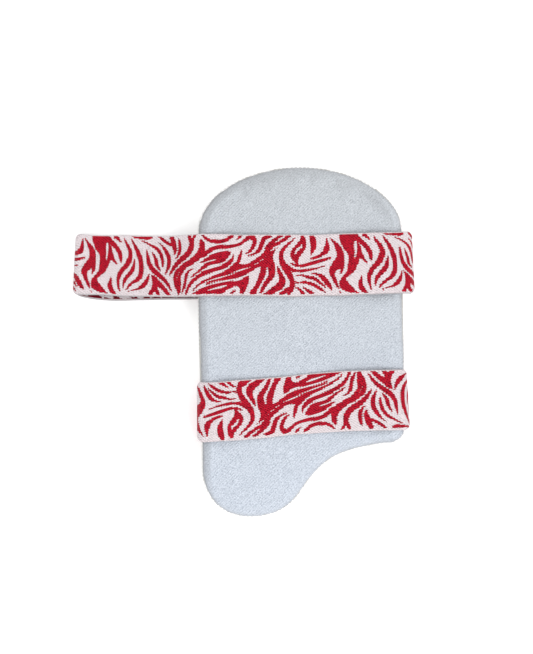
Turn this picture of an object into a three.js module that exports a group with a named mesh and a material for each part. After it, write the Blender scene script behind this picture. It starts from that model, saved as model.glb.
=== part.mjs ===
// A cricket thigh guard, stored flat: it lies on its outer shell, towelling side up, with both elastic
// straps wrapped round it. Millimetres. +X across the thigh, +Y towards the waist, +Z out of the towelling.
// The pad is worked out about its own centre line, x = 0, and the whole guard is centred at the end.
import * as THREE from "three";

// The pad seen from above. Its long flank is on the -X side and runs down into the tongue.
const padLength = 340; // top of the dome to tip of the tongue
const padWidth = 197; // across the foot of the dome
const domeHeight = 64; // half ellipse at the waist end
const flankTaper = 3.5; // how far the long flank leans in on its way to the tongue
const heelFlare = 2.5; // how far the short flank leans out on its way to the heel
const heelRadius = 15;
const heelAngle = 11; // degrees that the edge beside the heel runs down towards the tongue
const tongueDrop = 72; // tip of the tongue below the heel
const tongueShoulder = 50; // where the long flank starts to round into the tongue, above its tip
const tongueTipInset = 47; // lowest point of the tongue, in from the long flank
const neckWidth = 97; // across the tongue where the cut-away meets it
const neckHeight = 26.5; // that place above the tip
const neckAngle = 57.5; // degrees that the cut-away leans there

// The pad's section. It is dished round the thigh, with a flat land down the middle.
const shellThickness = 9;
const cushionThickness = 13;
const dishRise = 8; // how far the flanks stand above the land
const landWidth = 80;
const rimWidth = 0.8; // shell that shows round the cushion
const partingGap = 0.3; // between the shell and the cushion
const cushionRoll = 10; // how far in from the edge the cushion rounds over
const cushionCrown = 2.5; // how far up its side the cushion is fullest
const shellRoll = 8;
const shellLip = 1.5; // upright edge of the shell, above its rounded underside

// The straps and what fastens them
const waistStrapWidth = 59.5;
const thighStrapWidth = 57.5;
const strapThickness = 1.8;
const strapBevel = 0.6;
const seatGap = 0.3; // between a strap, a patch and what they lie on
const patchLength = 60;
const patchWidth = 50;
const patchThickness = 2;
const hookEnd = 20; // a strap's free end, from the centre line; its patch starts there
const sewnEnd = 35; // a strap's sewn end, from the centre line
const bridgeSag = 0.6; // how far a strap hangs between the pad's two crests
const followStep = 16; // spacing of the rows that follow the underside

// The waist strap, whose spare length lies beside the pad as a flat loop
const waistHeight = 75.5; // its middle where it crosses the short flank, above the pad's centre
const waistFoldSlack = 9.5; // its fold stands off the short flank by this
const waistWander = 5; // how far it strays off its straight line
const hookStray = -0.7; // where in that wander it is fastened
const loopReach = 124.5; // the loop's end, out from the long flank
const loopSlope = 52; // length over which it comes down from the pad
const loopGap = 1; // between the loop's two runs
const loopEndRadius = 2.35;
const loopLean = 1.5; // how far the fold at the loop's end lies aslant, to each side of its middle

// The thigh strap, which hugs the pad
const thighHeight = -54.9;
const thighTilt = 11.9; // how much lower it crosses the long flank
const thighFoldSlack = 3.2;
const thighFoldLean = 1.7;

// Sizes that follow from those above
const halfWidth = padWidth / 2;
const halfLength = padLength / 2;
const tipY = -halfLength;
const domeFootY = halfLength - domeHeight;
const tongueSideX = -halfWidth + flankTaper;
const heelX = halfWidth + heelFlare;
const shellFloor = strapThickness + patchThickness + 2 * seatGap; // the underside's land above the floor
const cushionFloor = shellFloor + shellThickness + partingGap;
const cushionTop = cushionFloor + cushionThickness;
const halfStrap = strapThickness / 2;

const towelling = new THREE.MeshStandardMaterial({ color: 0xd9dfe8, roughness: 1, metalness: 0 });
const shellCloth = new THREE.MeshStandardMaterial({ color: 0xe6e4df, roughness: 0.7, metalness: 0 });
const printedElastic = new THREE.MeshStandardMaterial({ color: 0xd8939a, roughness: 0.85, metalness: 0 });
const hookAndLoop = new THREE.MeshStandardMaterial({ color: 0xe4e2de, roughness: 0.95, metalness: 0 });

const radians = THREE.MathUtils.degToRad;
const mix = THREE.MathUtils.lerp;

// How far the dish raises the pad at x.
function dishLift(x) {
  const beyondLand = Math.max(0, Math.abs(x) - landWidth / 2);
  return dishRise * (beyondLand / (halfWidth - landWidth / 2)) ** 2;
}

// The pad's outline as an anticlockwise path, from the foot of the dome on the short flank.
function padOutline() {
  const heelCentre = new THREE.Vector2(heelX - heelRadius, tipY + tongueDrop + heelRadius);
  const heelEnd = radians(270 - heelAngle);
  const heelStart = heelCentre.clone().add(
    new THREE.Vector2(Math.cos(heelEnd), Math.sin(heelEnd)).multiplyScalar(heelRadius));
  const alongHeel = new THREE.Vector2(Math.cos(radians(heelAngle)), Math.sin(radians(heelAngle)));
  const neck = new THREE.Vector2(tongueSideX + neckWidth, tipY + neckHeight);
  const alongNeck = new THREE.Vector2(Math.cos(radians(neckAngle)), Math.sin(radians(neckAngle)));
  const tip = new THREE.Vector2(tongueSideX + tongueTipInset, tipY);
  const shoulder = new THREE.Vector2(tongueSideX, tipY + tongueShoulder);
  const flankLength = domeFootY - shoulder.y;
  const cutLength = heelStart.distanceTo(neck);

  const outline = new THREE.Path();
  outline.moveTo(halfWidth, domeFootY);
  outline.absellipse(0, domeFootY, halfWidth, domeHeight, 0, Math.PI);
  outline.bezierCurveTo(
    -halfWidth - 0.6 * flankTaper, domeFootY - 0.28 * flankLength,
    tongueSideX, shoulder.y + 0.33 * flankLength, shoulder.x, shoulder.y);
  outline.bezierCurveTo(
    tongueSideX, tipY + 0.36 * tongueShoulder, tip.x - 0.56 * tongueTipInset, tipY, tip.x, tip.y);
  outline.bezierCurveTo(
    mix(tip.x, neck.x, 0.48), tipY,
    neck.x - 0.72 * neckHeight * alongNeck.x, neck.y - 0.72 * neckHeight * alongNeck.y, neck.x, neck.y);
  outline.bezierCurveTo(
    neck.x + 0.47 * cutLength * alongNeck.x, neck.y + 0.47 * cutLength * alongNeck.y,
    heelStart.x - 0.41 * cutLength * alongHeel.x, heelStart.y - 0.41 * cutLength * alongHeel.y,
    heelStart.x, heelStart.y);
  outline.absarc(heelCentre.x, heelCentre.y, heelRadius, heelEnd, 2 * Math.PI);
  outline.bezierCurveTo(
    heelX, mix(heelCentre.y, domeFootY, 0.3),
    halfWidth, mix(heelCentre.y, domeFootY, 0.6), halfWidth, domeFootY);
  return outline;
}

// Steps along each stretch of the outline, in the order that padOutline draws them.
const stretches = [
  { name: "dome", steps: 26 },
  { name: "long flank", steps: 8 },
  { name: "tongue, outer side", steps: 9 },
  { name: "tongue, inner side", steps: 6 },
  { name: "cut-away", steps: 10 },
  { name: "heel", steps: 8 },
  { name: "short flank", steps: 7 },
];

// The outline as points, without the straight hops of no length that join its stretches.
function outlinePoints() {
  const drawn = padOutline().curves.filter((curve) => curve.getLength() > 0.01);
  return drawn.flatMap((curve, i) => curve.getPoints(stretches[i].steps).slice(0, -1));
}

// How far the outline reaches to one side, -1 or 1, between two heights.
function flankReach(side, low, high) {
  const around = padOutline().getSpacedPoints(400);
  const beside = around.filter((point) => point.y > low && point.y < high);
  return side * Math.max(...beside.map((point) => point.x * side));
}

// Points a fixed distance in from the outline, along the mean of the two edges' normals.
function insetPoints(points, inset) {
  return points.map((point, i) => {
    const before = points.at(i - 1);
    const after = points[(i + 1) % points.length];
    const along = point.clone().sub(before).normalize().add(after.clone().sub(point).normalize());
    along.normalize();
    return new THREE.Vector2(point.x - along.y * inset, point.y + along.x * inset);
  });
}

// The pad's spine, which its faces close on: down the middle of the body, then of the tongue.
const spine = [
  new THREE.Vector2(0, domeFootY),
  new THREE.Vector2(0, -0.12 * halfLength),
  new THREE.Vector2(tongueSideX + tongueTipInset, tipY + tongueShoulder),
];

function nearestOnSpine(point) {
  const feet = [0, 1].map((i) => {
    const run = spine[i + 1].clone().sub(spine[i]);
    const share = THREE.MathUtils.clamp(point.clone().sub(spine[i]).dot(run) / run.lengthSq(), 0, 1);
    return spine[i].clone().addScaledVector(run, share);
  });
  return feet[0].distanceTo(point) <= feet[1].distanceTo(point) ? feet[0] : feet[1];
}

// Shares of the way from the edge's rounding to the spine, for the rings that fill a face.
const faceShares = [0.17, 0.34, 0.51, 0.68, 0.86];

// A closed slab of the pad's plan. profile has a row for each ring of its edge, from the underside up, with
// the ring's inset and its height above the floor at the land. The dish lifts every point.
function slab(profile) {
  const edge = outlinePoints();
  const ringAt = (points, height) => points.map((p) => [p.x, p.y, height + dishLift(p.x)]);
  const faceRings = (row) => {
    const rim = insetPoints(edge, row.inset);
    return faceShares.map((share) =>
      ringAt(rim.map((p) => p.clone().lerp(nearestOnSpine(p), share)), row.height));
  };
  const rings = [
    ...faceRings(profile[0]).reverse(),
    ...profile.map((row) => ringAt(insetPoints(edge, row.inset), row.height)),
    ...faceRings(profile.at(-1)),
  ];

  // Below the edge the quads are split the other way, so that facing slabs have matching facets.
  const count = edge.length;
  const faces = [];
  for (let ring = 0; ring < rings.length - 1; ring++) {
    for (let i = 0; i < count; i++) {
      const a = ring * count + i;
      const b = ring * count + ((i + 1) % count);
      if (ring < faceShares.length) {
        faces.push([a, b, a + count], [b, b + count, a + count]);
      } else {
        faces.push([a, b, b + count], [a, b + count, a + count]);
      }
    }
  }
  const last = (rings.length - 1) * count;
  const lid = rings.at(-1).map(([x, y]) => new THREE.Vector2(x, y));
  for (const [a, b, c] of THREE.ShapeUtils.triangulateShape(lid, [])) {
    const turnsLeft = THREE.ShapeUtils.area([lid[a], lid[b], lid[c]]) > 0;
    const [p, q] = turnsLeft ? [b, c] : [c, b];
    faces.push([last + a, last + p, last + q]);
  }
  const base = rings[0].map(([x, y]) => new THREE.Vector2(x, y));
  for (const [a, b, c] of THREE.ShapeUtils.triangulateShape(base, [])) {
    const turnsLeft = THREE.ShapeUtils.area([base[a], base[b], base[c]]) > 0;
    const [p, q] = turnsLeft ? [c, b] : [b, c];
    faces.push([a, p, q]);
  }
  return closedGeometry(rings.flat(), faces);
}

function closedGeometry(points, faces) {
  const geometry = new THREE.BufferGeometry();
  geometry.setAttribute("position", new THREE.Float32BufferAttribute(points.flat(), 3));
  geometry.setIndex(faces.flat());
  geometry.computeVertexNormals();
  return geometry;
}

// How far a rounded edge has turned away from its face, as a share of its height, at a share of its width.
function roundOff(share) {
  return 1 - Math.sqrt(1 - (1 - share) ** 2);
}

// Towelling over soft foam: upright just above the seam, then rolled over on to the leg face.
function cushionProfile() {
  const rollHeight = cushionThickness - cushionCrown;
  const rolled = [0.02, 0.1, 0.24, 0.45, 0.7, 1].map((share) => ({
    inset: rimWidth + share * cushionRoll,
    height: cushionTop - rollHeight * roundOff(share),
  }));
  return [
    { inset: 2 * rimWidth, height: cushionFloor },
    { inset: rimWidth, height: cushionFloor + 0.6 * cushionCrown },
    ...rolled,
  ];
}

// Moulded foam under cloth: a rounded underside and a short upright lip at the seam.
function shellProfile() {
  const rollHeight = shellThickness - shellLip;
  const rolled = [1, 0.65, 0.38, 0.18, 0.05, 0].map((share) => ({
    inset: share * shellRoll,
    height: shellFloor + rollHeight * roundOff(share),
  }));
  const top = shellFloor + shellThickness;
  return [...rolled, { inset: 0, height: top }, { inset: 2 * rimWidth, height: top }];
}

// A flat band between two edge curves. Each row places the band's middle at x, y, z, and lean moves the edge
// towards the waist by -lean and the other edge by +lean along X, so that a fold can lie aslant.
function band({ rows, width, thickness, bevel, printedSide, stepsPerRow }) {
  const edgeCurve = (side) => new THREE.CatmullRomCurve3(
    rows.map((row) => new THREE.Vector3(
      row.x - side * (row.lean ?? 0), row.y + side * (width / 2), row.z)), false, "centripetal");
  const waistEdge = edgeCurve(1);
  const kneeEdge = edgeCurve(-1);
  const stations = (rows.length - 1) * stepsPerRow;

  // The band's section: across is a share of half the width, out of half the thickness.
  const flat = 1 - bevel / (width / 2);
  const section = [
    { across: -flat, out: 1 }, { across: flat, out: 1 }, { across: 1, out: 0 },
    { across: flat, out: -1 }, { across: -flat, out: -1 }, { across: -1, out: 0 },
  ];
  const points = [];
  for (let station = 0; station <= stations; station++) {
    const t = station / stations;
    const waist = waistEdge.getPoint(t);
    const knee = kneeEdge.getPoint(t);
    const middle = waist.clone().add(knee).multiplyScalar(0.5);
    middle.z = Math.max(middle.z, thickness / 2); // nothing sinks into what the guard lies on
    const halfAcross = waist.clone().sub(knee).multiplyScalar(0.5 * printedSide);
    const along = waistEdge.getTangent(t).add(kneeEdge.getTangent(t)).setY(0).normalize();
    const out = halfAcross.clone().cross(along).normalize().multiplyScalar(thickness / 2);
    for (const corner of section) {
      points.push(middle.clone().addScaledVector(halfAcross, corner.across)
        .addScaledVector(out, corner.out).toArray());
    }
  }
  const sides = section.length;
  const faces = [];
  for (let station = 0; station < stations; station++) {
    for (let i = 0; i < sides; i++) {
      const a = station * sides + i;
      const b = station * sides + ((i + 1) % sides);
      faces.push([a, b, b + sides], [a, b + sides, a + sides]);
    }
  }
  const last = stations * sides;
  for (let i = 1; i < sides - 1; i++) {
    faces.push([0, i + 1, i], [last, last + i, last + i + 1]);
  }
  return closedGeometry(points, faces);
}

const sewnBelow = seatGap + halfStrap;
const hookBelow = 2 * seatGap + patchThickness + halfStrap;
const cushionRollHeight = cushionThickness - cushionCrown;
const shellRollHeight = shellThickness - shellLip;

// Rows that follow the shell's underside from one x to another, a given distance below it.
function rowsUnderShell({ from, to, below, y }) {
  const steps = Math.max(1, Math.round(Math.abs(to - from) / followStep));
  return Array.from({ length: steps + 1 }, (_, i) => {
    const x = mix(from, to, i / steps);
    return { x, y, z: shellFloor + dishLift(x) - below };
  });
}

// A place on a strap beside the cushion's rounded edge. turn is 0 straight above the start of the rounding
// and 90 degrees out at the side, where the strap stands off by its slack.
function besideCushion(edgeX, slack, turn) {
  const out = Math.abs(edgeX) - rimWidth - cushionRoll + (cushionRoll + rimWidth + slack) * Math.sin(turn);
  const rise = (cushionRollHeight + seatGap + halfStrap) * Math.cos(turn);
  const lift = dishLift(Math.min(out, Math.abs(edgeX)));
  return { x: out * Math.sign(edgeX), z: cushionTop - cushionRollHeight + rise + lift };
}

// The same beside the shell's rounded edge, where a turn of 0 is straight below.
function besideShell(edgeX, slack, below, turn) {
  const out = Math.abs(edgeX) - shellRoll + (shellRoll + slack) * Math.sin(turn);
  const drop = (shellRollHeight + below) * Math.cos(turn);
  const lift = dishLift(Math.min(out, Math.abs(edgeX)));
  return { x: out * Math.sign(edgeX), z: shellFloor + shellRollHeight - drop + lift };
}

// The turn at which a strap beside the cushion is highest: there it leaves the edge for the other crest.
function crestTurn(edgeX, slack) {
  const turns = Array.from({ length: 61 }, (_, i) => radians(i));
  return turns.reduce((best, turn) =>
    (besideCushion(edgeX, slack, turn).z > besideCushion(edgeX, slack, best).z ? turn : best));
}

// Rows round one edge of the pad, from its crest to the underside. lean lays the fold aslant.
function rowsRoundEdge({ edgeX, slack, below, lean, yOver, yUnder }) {
  const crest = crestTurn(edgeX, slack);
  const sideTurn = radians(78);
  const over = [0, 0.35, 0.7, 1].map((share) => besideCushion(edgeX, slack, mix(crest, sideTurn, share)));
  const under = [1, 0.65, 0.3].map((share) => besideShell(edgeX, slack, below, share * sideTurn));
  const reach = Math.abs(edgeX) + slack;
  return [...over, ...under].map((place, i, all) => ({
    ...place,
    y: mix(yOver, yUnder, i / (all.length - 1)),
    lean: Math.sign(edgeX) * lean * Math.max(0, 1 - (reach - Math.abs(place.x)) / cushionRoll),
  }));
}

// Sewn under the short flank, over the leg face, out past the long flank, and back underneath.
function waistStrapRows() {
  const wander = (share) => waistHeight + share * waistWander;
  const fold = rowsRoundEdge({ edgeX: halfWidth, slack: waistFoldSlack, below: sewnBelow, lean: loopLean,
    yOver: wander(0.1), yUnder: wander(0.3) });
  const farCrest = besideCushion(-halfWidth, 0, crestTurn(-halfWidth, 0));
  const under = rowsUnderShell({ from: halfWidth - shellRoll, to: sewnEnd, below: sewnBelow, y: wander(0.3) });

  // Over the leg face: place is a share of the way from the first crest to the far one.
  const across = [
    { place: 0.25, sag: 0.7, stray: -0.2 },
    { place: 0.5, sag: 1, stray: -0.45 },
    { place: 0.75, sag: 0.7, stray: -0.42 },
    { place: 1, sag: 0, stray: -0.36 },
  ].map((row) => ({
    x: mix(fold[0].x, farCrest.x, row.place),
    z: mix(fold[0].z, farCrest.z, row.place) - row.sag * bridgeSag,
    y: wander(row.stray),
  }));

  // Down to the loop beside the pad: down is a share of the slope's length.
  const loopTop = halfStrap + strapThickness + loopGap;
  const slope = [
    { down: 0.1, stray: -0.36 },
    { down: 0.22, stray: -0.38 },
    { down: 0.38, stray: -0.38 },
    { down: 0.54, stray: -0.38 },
    { down: 0.7, stray: -0.35 },
    { down: 0.86, stray: -0.3 },
    { down: 1, stray: -0.25 },
  ].map((row) => ({
    x: farCrest.x - row.down * loopSlope,
    z: mix(loopTop, farCrest.z, (1 + Math.cos(row.down * Math.PI)) / 2),
    y: wander(row.stray),
    lean: -loopLean * row.down,
  }));

  // Out to the fold at the loop's end and back on the table: out is a share of the loop's flat length.
  const flatStart = farCrest.x - loopSlope;
  const endX = -halfWidth - loopReach + halfStrap + loopEndRadius;
  const endZ = halfStrap + loopEndRadius;
  const outRun = [
    { out: 0.3, stray: -0.2 },
    { out: 0.65, stray: -0.05 },
    { out: 0.92, stray: 0.04 },
  ].map((row) => ({
    x: mix(flatStart, endX, row.out),
    z: mix(loopTop, endZ + loopEndRadius, row.out ** 4),
    y: wander(row.stray),
    lean: -loopLean,
  }));
  const loopEnd = [70, 25, -20, -65].map((degrees) => ({
    x: endX - loopEndRadius * Math.cos(radians(degrees)),
    z: endZ + loopEndRadius * Math.sin(radians(degrees)),
    y: wander(0.15),
    lean: -loopLean,
  }));
  const backRun = [
    { out: 0.93, stray: 0 },
    { out: 0.75, stray: -0.45 },
    { out: 0.5, stray: -0.8 },
    { out: 0.2, stray: -0.92 },
    { out: -0.2, stray: -0.9 },
  ].map((row) => ({ x: mix(flatStart, endX, row.out), z: halfStrap, y: wander(row.stray), lean: -loopLean / 2 }));

  // It comes up to its patch in line with it.
  const hook = rowsUnderShell({ from: -hookEnd - patchLength, to: -hookEnd, below: hookBelow,
    y: wander(hookStray) });
  const lead = { ...hook[0], x: mix(hook[0].x, hook[1].x, -0.5), z: mix(hook[0].z, hook[1].z, -0.5) };
  return [...under.reverse(), ...fold.reverse(), ...across, ...slope, ...outRun, ...loopEnd, ...backRun,
    lead, ...hook];
}

// Sewn under the long flank, over the leg face and round the short flank to the underside.
function thighStrapRows() {
  const lowY = thighHeight - thighTilt;
  const halfBand = thighStrapWidth / 2;
  const longEdge = flankReach(-1, lowY - halfBand, lowY + halfBand);
  const shortEdge = flankReach(1, thighHeight - halfBand, thighHeight + halfBand);
  const longFold = rowsRoundEdge({ edgeX: longEdge, slack: thighFoldSlack, below: sewnBelow, lean: 0,
    yOver: lowY, yUnder: lowY });
  const shortFold = rowsRoundEdge({ edgeX: shortEdge, slack: thighFoldSlack, below: hookBelow,
    lean: thighFoldLean, yOver: thighHeight, yUnder: thighHeight });
  const sewn = rowsUnderShell({ from: -sewnEnd, to: longEdge + shellRoll, below: sewnBelow, y: lowY });
  const hook = rowsUnderShell({ from: shortEdge - shellRoll, to: hookEnd, below: hookBelow,
    y: thighHeight });
  const across = [
    { place: 0.14, sag: 0.5, rise: 0.13 },
    { place: 0.3, sag: 0.9, rise: 0.32 },
    { place: 0.5, sag: 1, rise: 0.63 },
    { place: 0.7, sag: 0.9, rise: 0.86 },
    { place: 0.86, sag: 0.5, rise: 0.95 },
  ].map((row) => ({
    x: mix(longFold[0].x, shortFold[0].x, row.place),
    z: mix(longFold[0].z, shortFold[0].z, row.place) - row.sag * bridgeSag,
    y: lowY + row.rise * thighTilt,
  }));
  return [...sewn, ...longFold.reverse(), ...across, ...shortFold, ...hook];
}

function strap(rows, width, printedSide) {
  return band({ rows, width, thickness: strapThickness, bevel: strapBevel, printedSide, stepsPerRow: 3 });
}

// A hook-and-loop patch on the shell's underside, from a strap's free end out towards one flank.
function patch(flank, y) {
  const rows = rowsUnderShell({ from: flank * hookEnd, to: flank * (hookEnd + patchLength),
    below: seatGap + patchThickness / 2, y });
  return band({ rows, width: patchWidth, thickness: patchThickness, bevel: strapBevel, printedSide: -flank,
    stepsPerRow: 2 });
}

function piece(name, geometry, material) {
  const mesh = new THREE.Mesh(geometry, material);
  mesh.name = name;
  return mesh;
}

const guard = new THREE.Group();
guard.add(
  piece("outer_shell", slab(shellProfile()), shellCloth),
  piece("towelling_cushion", slab(cushionProfile()), towelling),
  piece("waist_strap", strap(waistStrapRows(), waistStrapWidth, 1), printedElastic),
  piece("thigh_strap", strap(thighStrapRows(), thighStrapWidth, -1), printedElastic),
  piece("waist_strap_patch", patch(-1, waistHeight + hookStray * waistWander), hookAndLoop),
  piece("thigh_strap_patch", patch(1, thighHeight), hookAndLoop),
);

// The origin is under the middle of the guard, on the surface that it lies on.
const box = new THREE.Box3().setFromObject(guard);
const middle = box.getCenter(new THREE.Vector3());
guard.position.set(-middle.x, -middle.y, -box.min.z);

export default guard;
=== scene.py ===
import bpy
import numpy as np
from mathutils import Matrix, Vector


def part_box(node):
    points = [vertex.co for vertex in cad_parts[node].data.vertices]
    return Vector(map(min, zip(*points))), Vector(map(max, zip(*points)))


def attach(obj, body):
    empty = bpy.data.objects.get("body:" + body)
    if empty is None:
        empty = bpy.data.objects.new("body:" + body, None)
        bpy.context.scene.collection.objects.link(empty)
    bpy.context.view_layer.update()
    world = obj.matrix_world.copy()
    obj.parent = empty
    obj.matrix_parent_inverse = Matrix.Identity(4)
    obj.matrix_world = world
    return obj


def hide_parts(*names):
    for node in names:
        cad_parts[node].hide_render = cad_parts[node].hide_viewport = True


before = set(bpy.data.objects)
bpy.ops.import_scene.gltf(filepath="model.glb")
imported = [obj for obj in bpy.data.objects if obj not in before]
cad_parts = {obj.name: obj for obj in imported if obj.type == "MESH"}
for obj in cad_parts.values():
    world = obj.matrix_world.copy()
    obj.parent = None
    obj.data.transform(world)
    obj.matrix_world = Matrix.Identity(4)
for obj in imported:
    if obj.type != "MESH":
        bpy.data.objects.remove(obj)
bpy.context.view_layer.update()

# A cricket thigh guard, lying towelling side up with its two zebra elastics wrapped round it.
# Shapes are worked out in millimetres about the pad's centre line, and toFrame puts them in the frame.

pad = {
    "length": 340, "width": 197, "domeHeight": 64, "flankTaper": 3.5, "heelFlare": 2.5,
    "heelRadius": 15, "heelAngle": 11, "tongueDrop": 72, "tongueShoulder": 50, "tongueTipInset": 47,
    "neckWidth": 97, "neckHeight": 26.5, "neckAngle": 57.5,
    "shellThickness": 9, "cushionThickness": 13, "dishRise": 8, "landWidth": 80, "rim": 0.8,
    "partingGap": 0.3, "cushionRoll": 10, "cushionCrown": 2.5, "shellRoll": 8, "shellLip": 1.5,
}
elastic = {
    "thickness": 1.8, "seatGap": 0.3, "patchLength": 60, "patchWidth": 50, "patchThickness": 2,
    "hookEnd": 20, "sewnEnd": 35, "bridgeSag": 3.2, "followStep": 16, "sideTurn": 78,
}
waist = {
    "width": 59.5, "height": 75.5, "foldSlack": 9.5, "wander": 5, "hookStray": -0.7,
    "loopReach": 123, "loopSlope": 52, "loopGap": 1, "loopEndRadius": 2.35, "loopLean": 1.5,
}
thigh = {"width": 57.5, "height": -54.9, "tilt": 11.9, "foldSlack": 2.0, "foldLean": 1.7}

halfWidth = pad["width"] / 2
halfLength = pad["length"] / 2
tipY = -halfLength
domeFootY = halfLength - pad["domeHeight"]
tongueSideX = -halfWidth + pad["flankTaper"]
heelX = halfWidth + pad["heelFlare"]
halfStrap = elastic["thickness"] / 2
shellFloor = elastic["thickness"] + elastic["patchThickness"] + 2 * elastic["seatGap"]
cushionFloor = shellFloor + pad["shellThickness"] + pad["partingGap"]
cushionTop = cushionFloor + pad["cushionThickness"]
sewnBelow = elastic["seatGap"] + halfStrap
hookBelow = 2 * elastic["seatGap"] + elastic["patchThickness"] + halfStrap
cushionRollHeight = pad["cushionThickness"] - pad["cushionCrown"]
shellRollHeight = pad["shellThickness"] - pad["shellLip"]

# Where the pad's centre is in the frame: the shell's box ends at the heel.
shellLow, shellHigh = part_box("outer_shell")
padPlace = np.array([shellHigh[0] * 1000 - heelX, (shellLow[1] + shellHigh[1]) * 500,
                     shellLow[2] * 1000 - shellFloor])


def toFrame(points):  # millimetres on the pad to metres in the frame
    return (np.asarray(points, dtype=float) + padPlace) * 0.001


def makePiece(name, points, faces):  # a mesh object from points in millimetres
    mesh = bpy.data.meshes.new(name)
    mesh.from_pydata(toFrame(points), [], faces if isinstance(faces, list) else faces.tolist())
    mesh.shade_smooth()
    piece = bpy.data.objects.new(name, mesh)
    bpy.context.scene.collection.objects.link(piece)
    return piece


def setAttribute(piece, name, values, kind="FLOAT"):  # one value or vector for each point
    layer = piece.data.attributes.new(name, kind, "POINT")
    layer.data.foreach_set("value" if kind == "FLOAT" else "vector", np.asarray(values, np.float32).ravel())


def gridFaces(rows, columns):  # quads of a grid whose columns close round on themselves
    row, column = np.meshgrid(np.arange(rows - 1), np.arange(columns), indexing="ij")
    here = (row * columns + column).ravel()
    beside = (row * columns + (column + 1) % columns).ravel()
    return np.stack([here, beside, beside + columns, here + columns], axis=1)


def hopLengths(path):  # from each point to the next
    return np.linalg.norm(np.diff(path, axis=0), axis=1)


def distanceAlong(path):  # from the first point to each point
    return np.concatenate([[0], np.cumsum(hopLengths(path))])


def readOff(places, marks, values):  # rows of values, whose marks are given, at other places
    return np.stack([np.interp(places, marks, column) for column in values.T], axis=1)


def unitRows(vectors):  # each row made one long
    return vectors / np.linalg.norm(vectors, axis=1)[:, None]


def toStraight(x, y, start, end):  # how far along a straight run the nearest place is, and the gap to it
    runX = end[0] - start[0]
    runY = end[1] - start[1]
    share = np.clip(((x - start[0]) * runX + (y - start[1]) * runY) / max(runX ** 2 + runY ** 2, 1e-9), 0, 1)
    return share, np.hypot(x - start[0] - share * runX, y - start[1] - share * runY)


def smoothStep(values):  # 0 below 0, 1 above 1, and an even S between them
    held = np.clip(values, 0, 1)
    return held * held * (3 - 2 * held)


def latticeNoise(points, pitch, seed):  # random values at lattice corners, blended smoothly, from -1 to 1
    cell = np.floor(points / pitch).astype(np.int64)
    share = smoothStep(points / pitch - cell)
    total = np.zeros(len(points))
    for corner in np.ndindex(2, 2, 2):
        key = (cell + corner) @ np.array([73856093, 19349663, 83492791]) + seed * 2654435761
        key = (key ^ (key >> 13)) * 1274126177
        key = (key ^ (key >> 16)) & 0xFFFF
        weight = np.prod(np.where(corner, share, 1 - share), axis=1)
        total += weight * (key / 32767.5 - 1)
    return total


# The pad

def bezier(start, pull, push, end, steps):  # a cubic curve without its last point
    t = np.linspace(0, 1, steps, endpoint=False)[:, None]
    return (1 - t) ** 3 * start + 3 * (1 - t) ** 2 * t * pull + 3 * (1 - t) * t * t * push + t ** 3 * end


def direction(degrees):  # seen from above, from +X towards +Y
    return np.array([np.cos(np.radians(degrees)), np.sin(np.radians(degrees))])


# The outline seen from above, anticlockwise from the dome's foot on the short flank: half an ellipse,
# curves down the long flank, round the tongue and along the cut-away, the heel's arc and the short flank.
# How far each curve's end is pulled along its tangent is a share of the curve's own run.
def padOutline(spacing):
    heelCentre = np.array([heelX - pad["heelRadius"], tipY + pad["tongueDrop"] + pad["heelRadius"]])
    heelStart = heelCentre + pad["heelRadius"] * direction(270 - pad["heelAngle"])
    alongHeel = direction(pad["heelAngle"])
    alongNeck = direction(pad["neckAngle"])
    neck = np.array([tongueSideX + pad["neckWidth"], tipY + pad["neckHeight"]])
    tip = np.array([tongueSideX + pad["tongueTipInset"], tipY])
    shoulder = np.array([tongueSideX, tipY + pad["tongueShoulder"]])
    flankLength = domeFootY - shoulder[1]
    cutLength = np.linalg.norm(heelStart - neck)
    turn = np.linspace(0, np.pi, 300, endpoint=False)
    dome = np.stack([halfWidth * np.cos(turn), domeFootY + pad["domeHeight"] * np.sin(turn)], axis=1)
    turn = np.radians(np.linspace(270 - pad["heelAngle"], 360, 60, endpoint=False))
    heel = heelCentre + pad["heelRadius"] * np.stack([np.cos(turn), np.sin(turn)], axis=1)
    drawn = np.concatenate([
        dome,
        bezier(np.array([-halfWidth, domeFootY]),
               np.array([-halfWidth - 0.6 * pad["flankTaper"], domeFootY - 0.28 * flankLength]),
               np.array([tongueSideX, shoulder[1] + 0.33 * flankLength]), shoulder, 200),
        bezier(shoulder, np.array([tongueSideX, tipY + 0.36 * pad["tongueShoulder"]]),
               np.array([tip[0] - 0.56 * pad["tongueTipInset"], tipY]), tip, 100),
        bezier(tip, np.array([tip[0] + 0.48 * (neck[0] - tip[0]), tipY]),
               neck - 0.72 * pad["neckHeight"] * alongNeck, neck, 100),
        bezier(neck, neck + 0.47 * cutLength * alongNeck, heelStart - 0.41 * cutLength * alongHeel,
               heelStart, 150),
        heel,
        bezier(np.array([heelX, heelCentre[1]]),
               np.array([heelX, heelCentre[1] + 0.3 * (domeFootY - heelCentre[1])]),
               np.array([halfWidth, heelCentre[1] + 0.6 * (domeFootY - heelCentre[1])]),
               np.array([halfWidth, domeFootY]), 200),
    ])
    closed = np.concatenate([drawn, drawn[:1]])
    travelled = distanceAlong(closed)
    places = np.linspace(0, travelled[-1], round(travelled[-1] / spacing), endpoint=False)
    return readOff(places, travelled, closed)


def outwardNormals(outline):  # square to the line between the two neighbours
    along = unitRows(np.roll(outline, -1, axis=0) - np.roll(outline, 1, axis=0))
    return np.stack([along[:, 1], -along[:, 0]], axis=1)


def dishLift(x):  # nothing over the land, then a parabola up to the flanks
    beyond = np.maximum(0, np.abs(x) - pad["landWidth"] / 2)
    return pad["dishRise"] * (beyond / (halfWidth - pad["landWidth"] / 2)) ** 2


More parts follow.
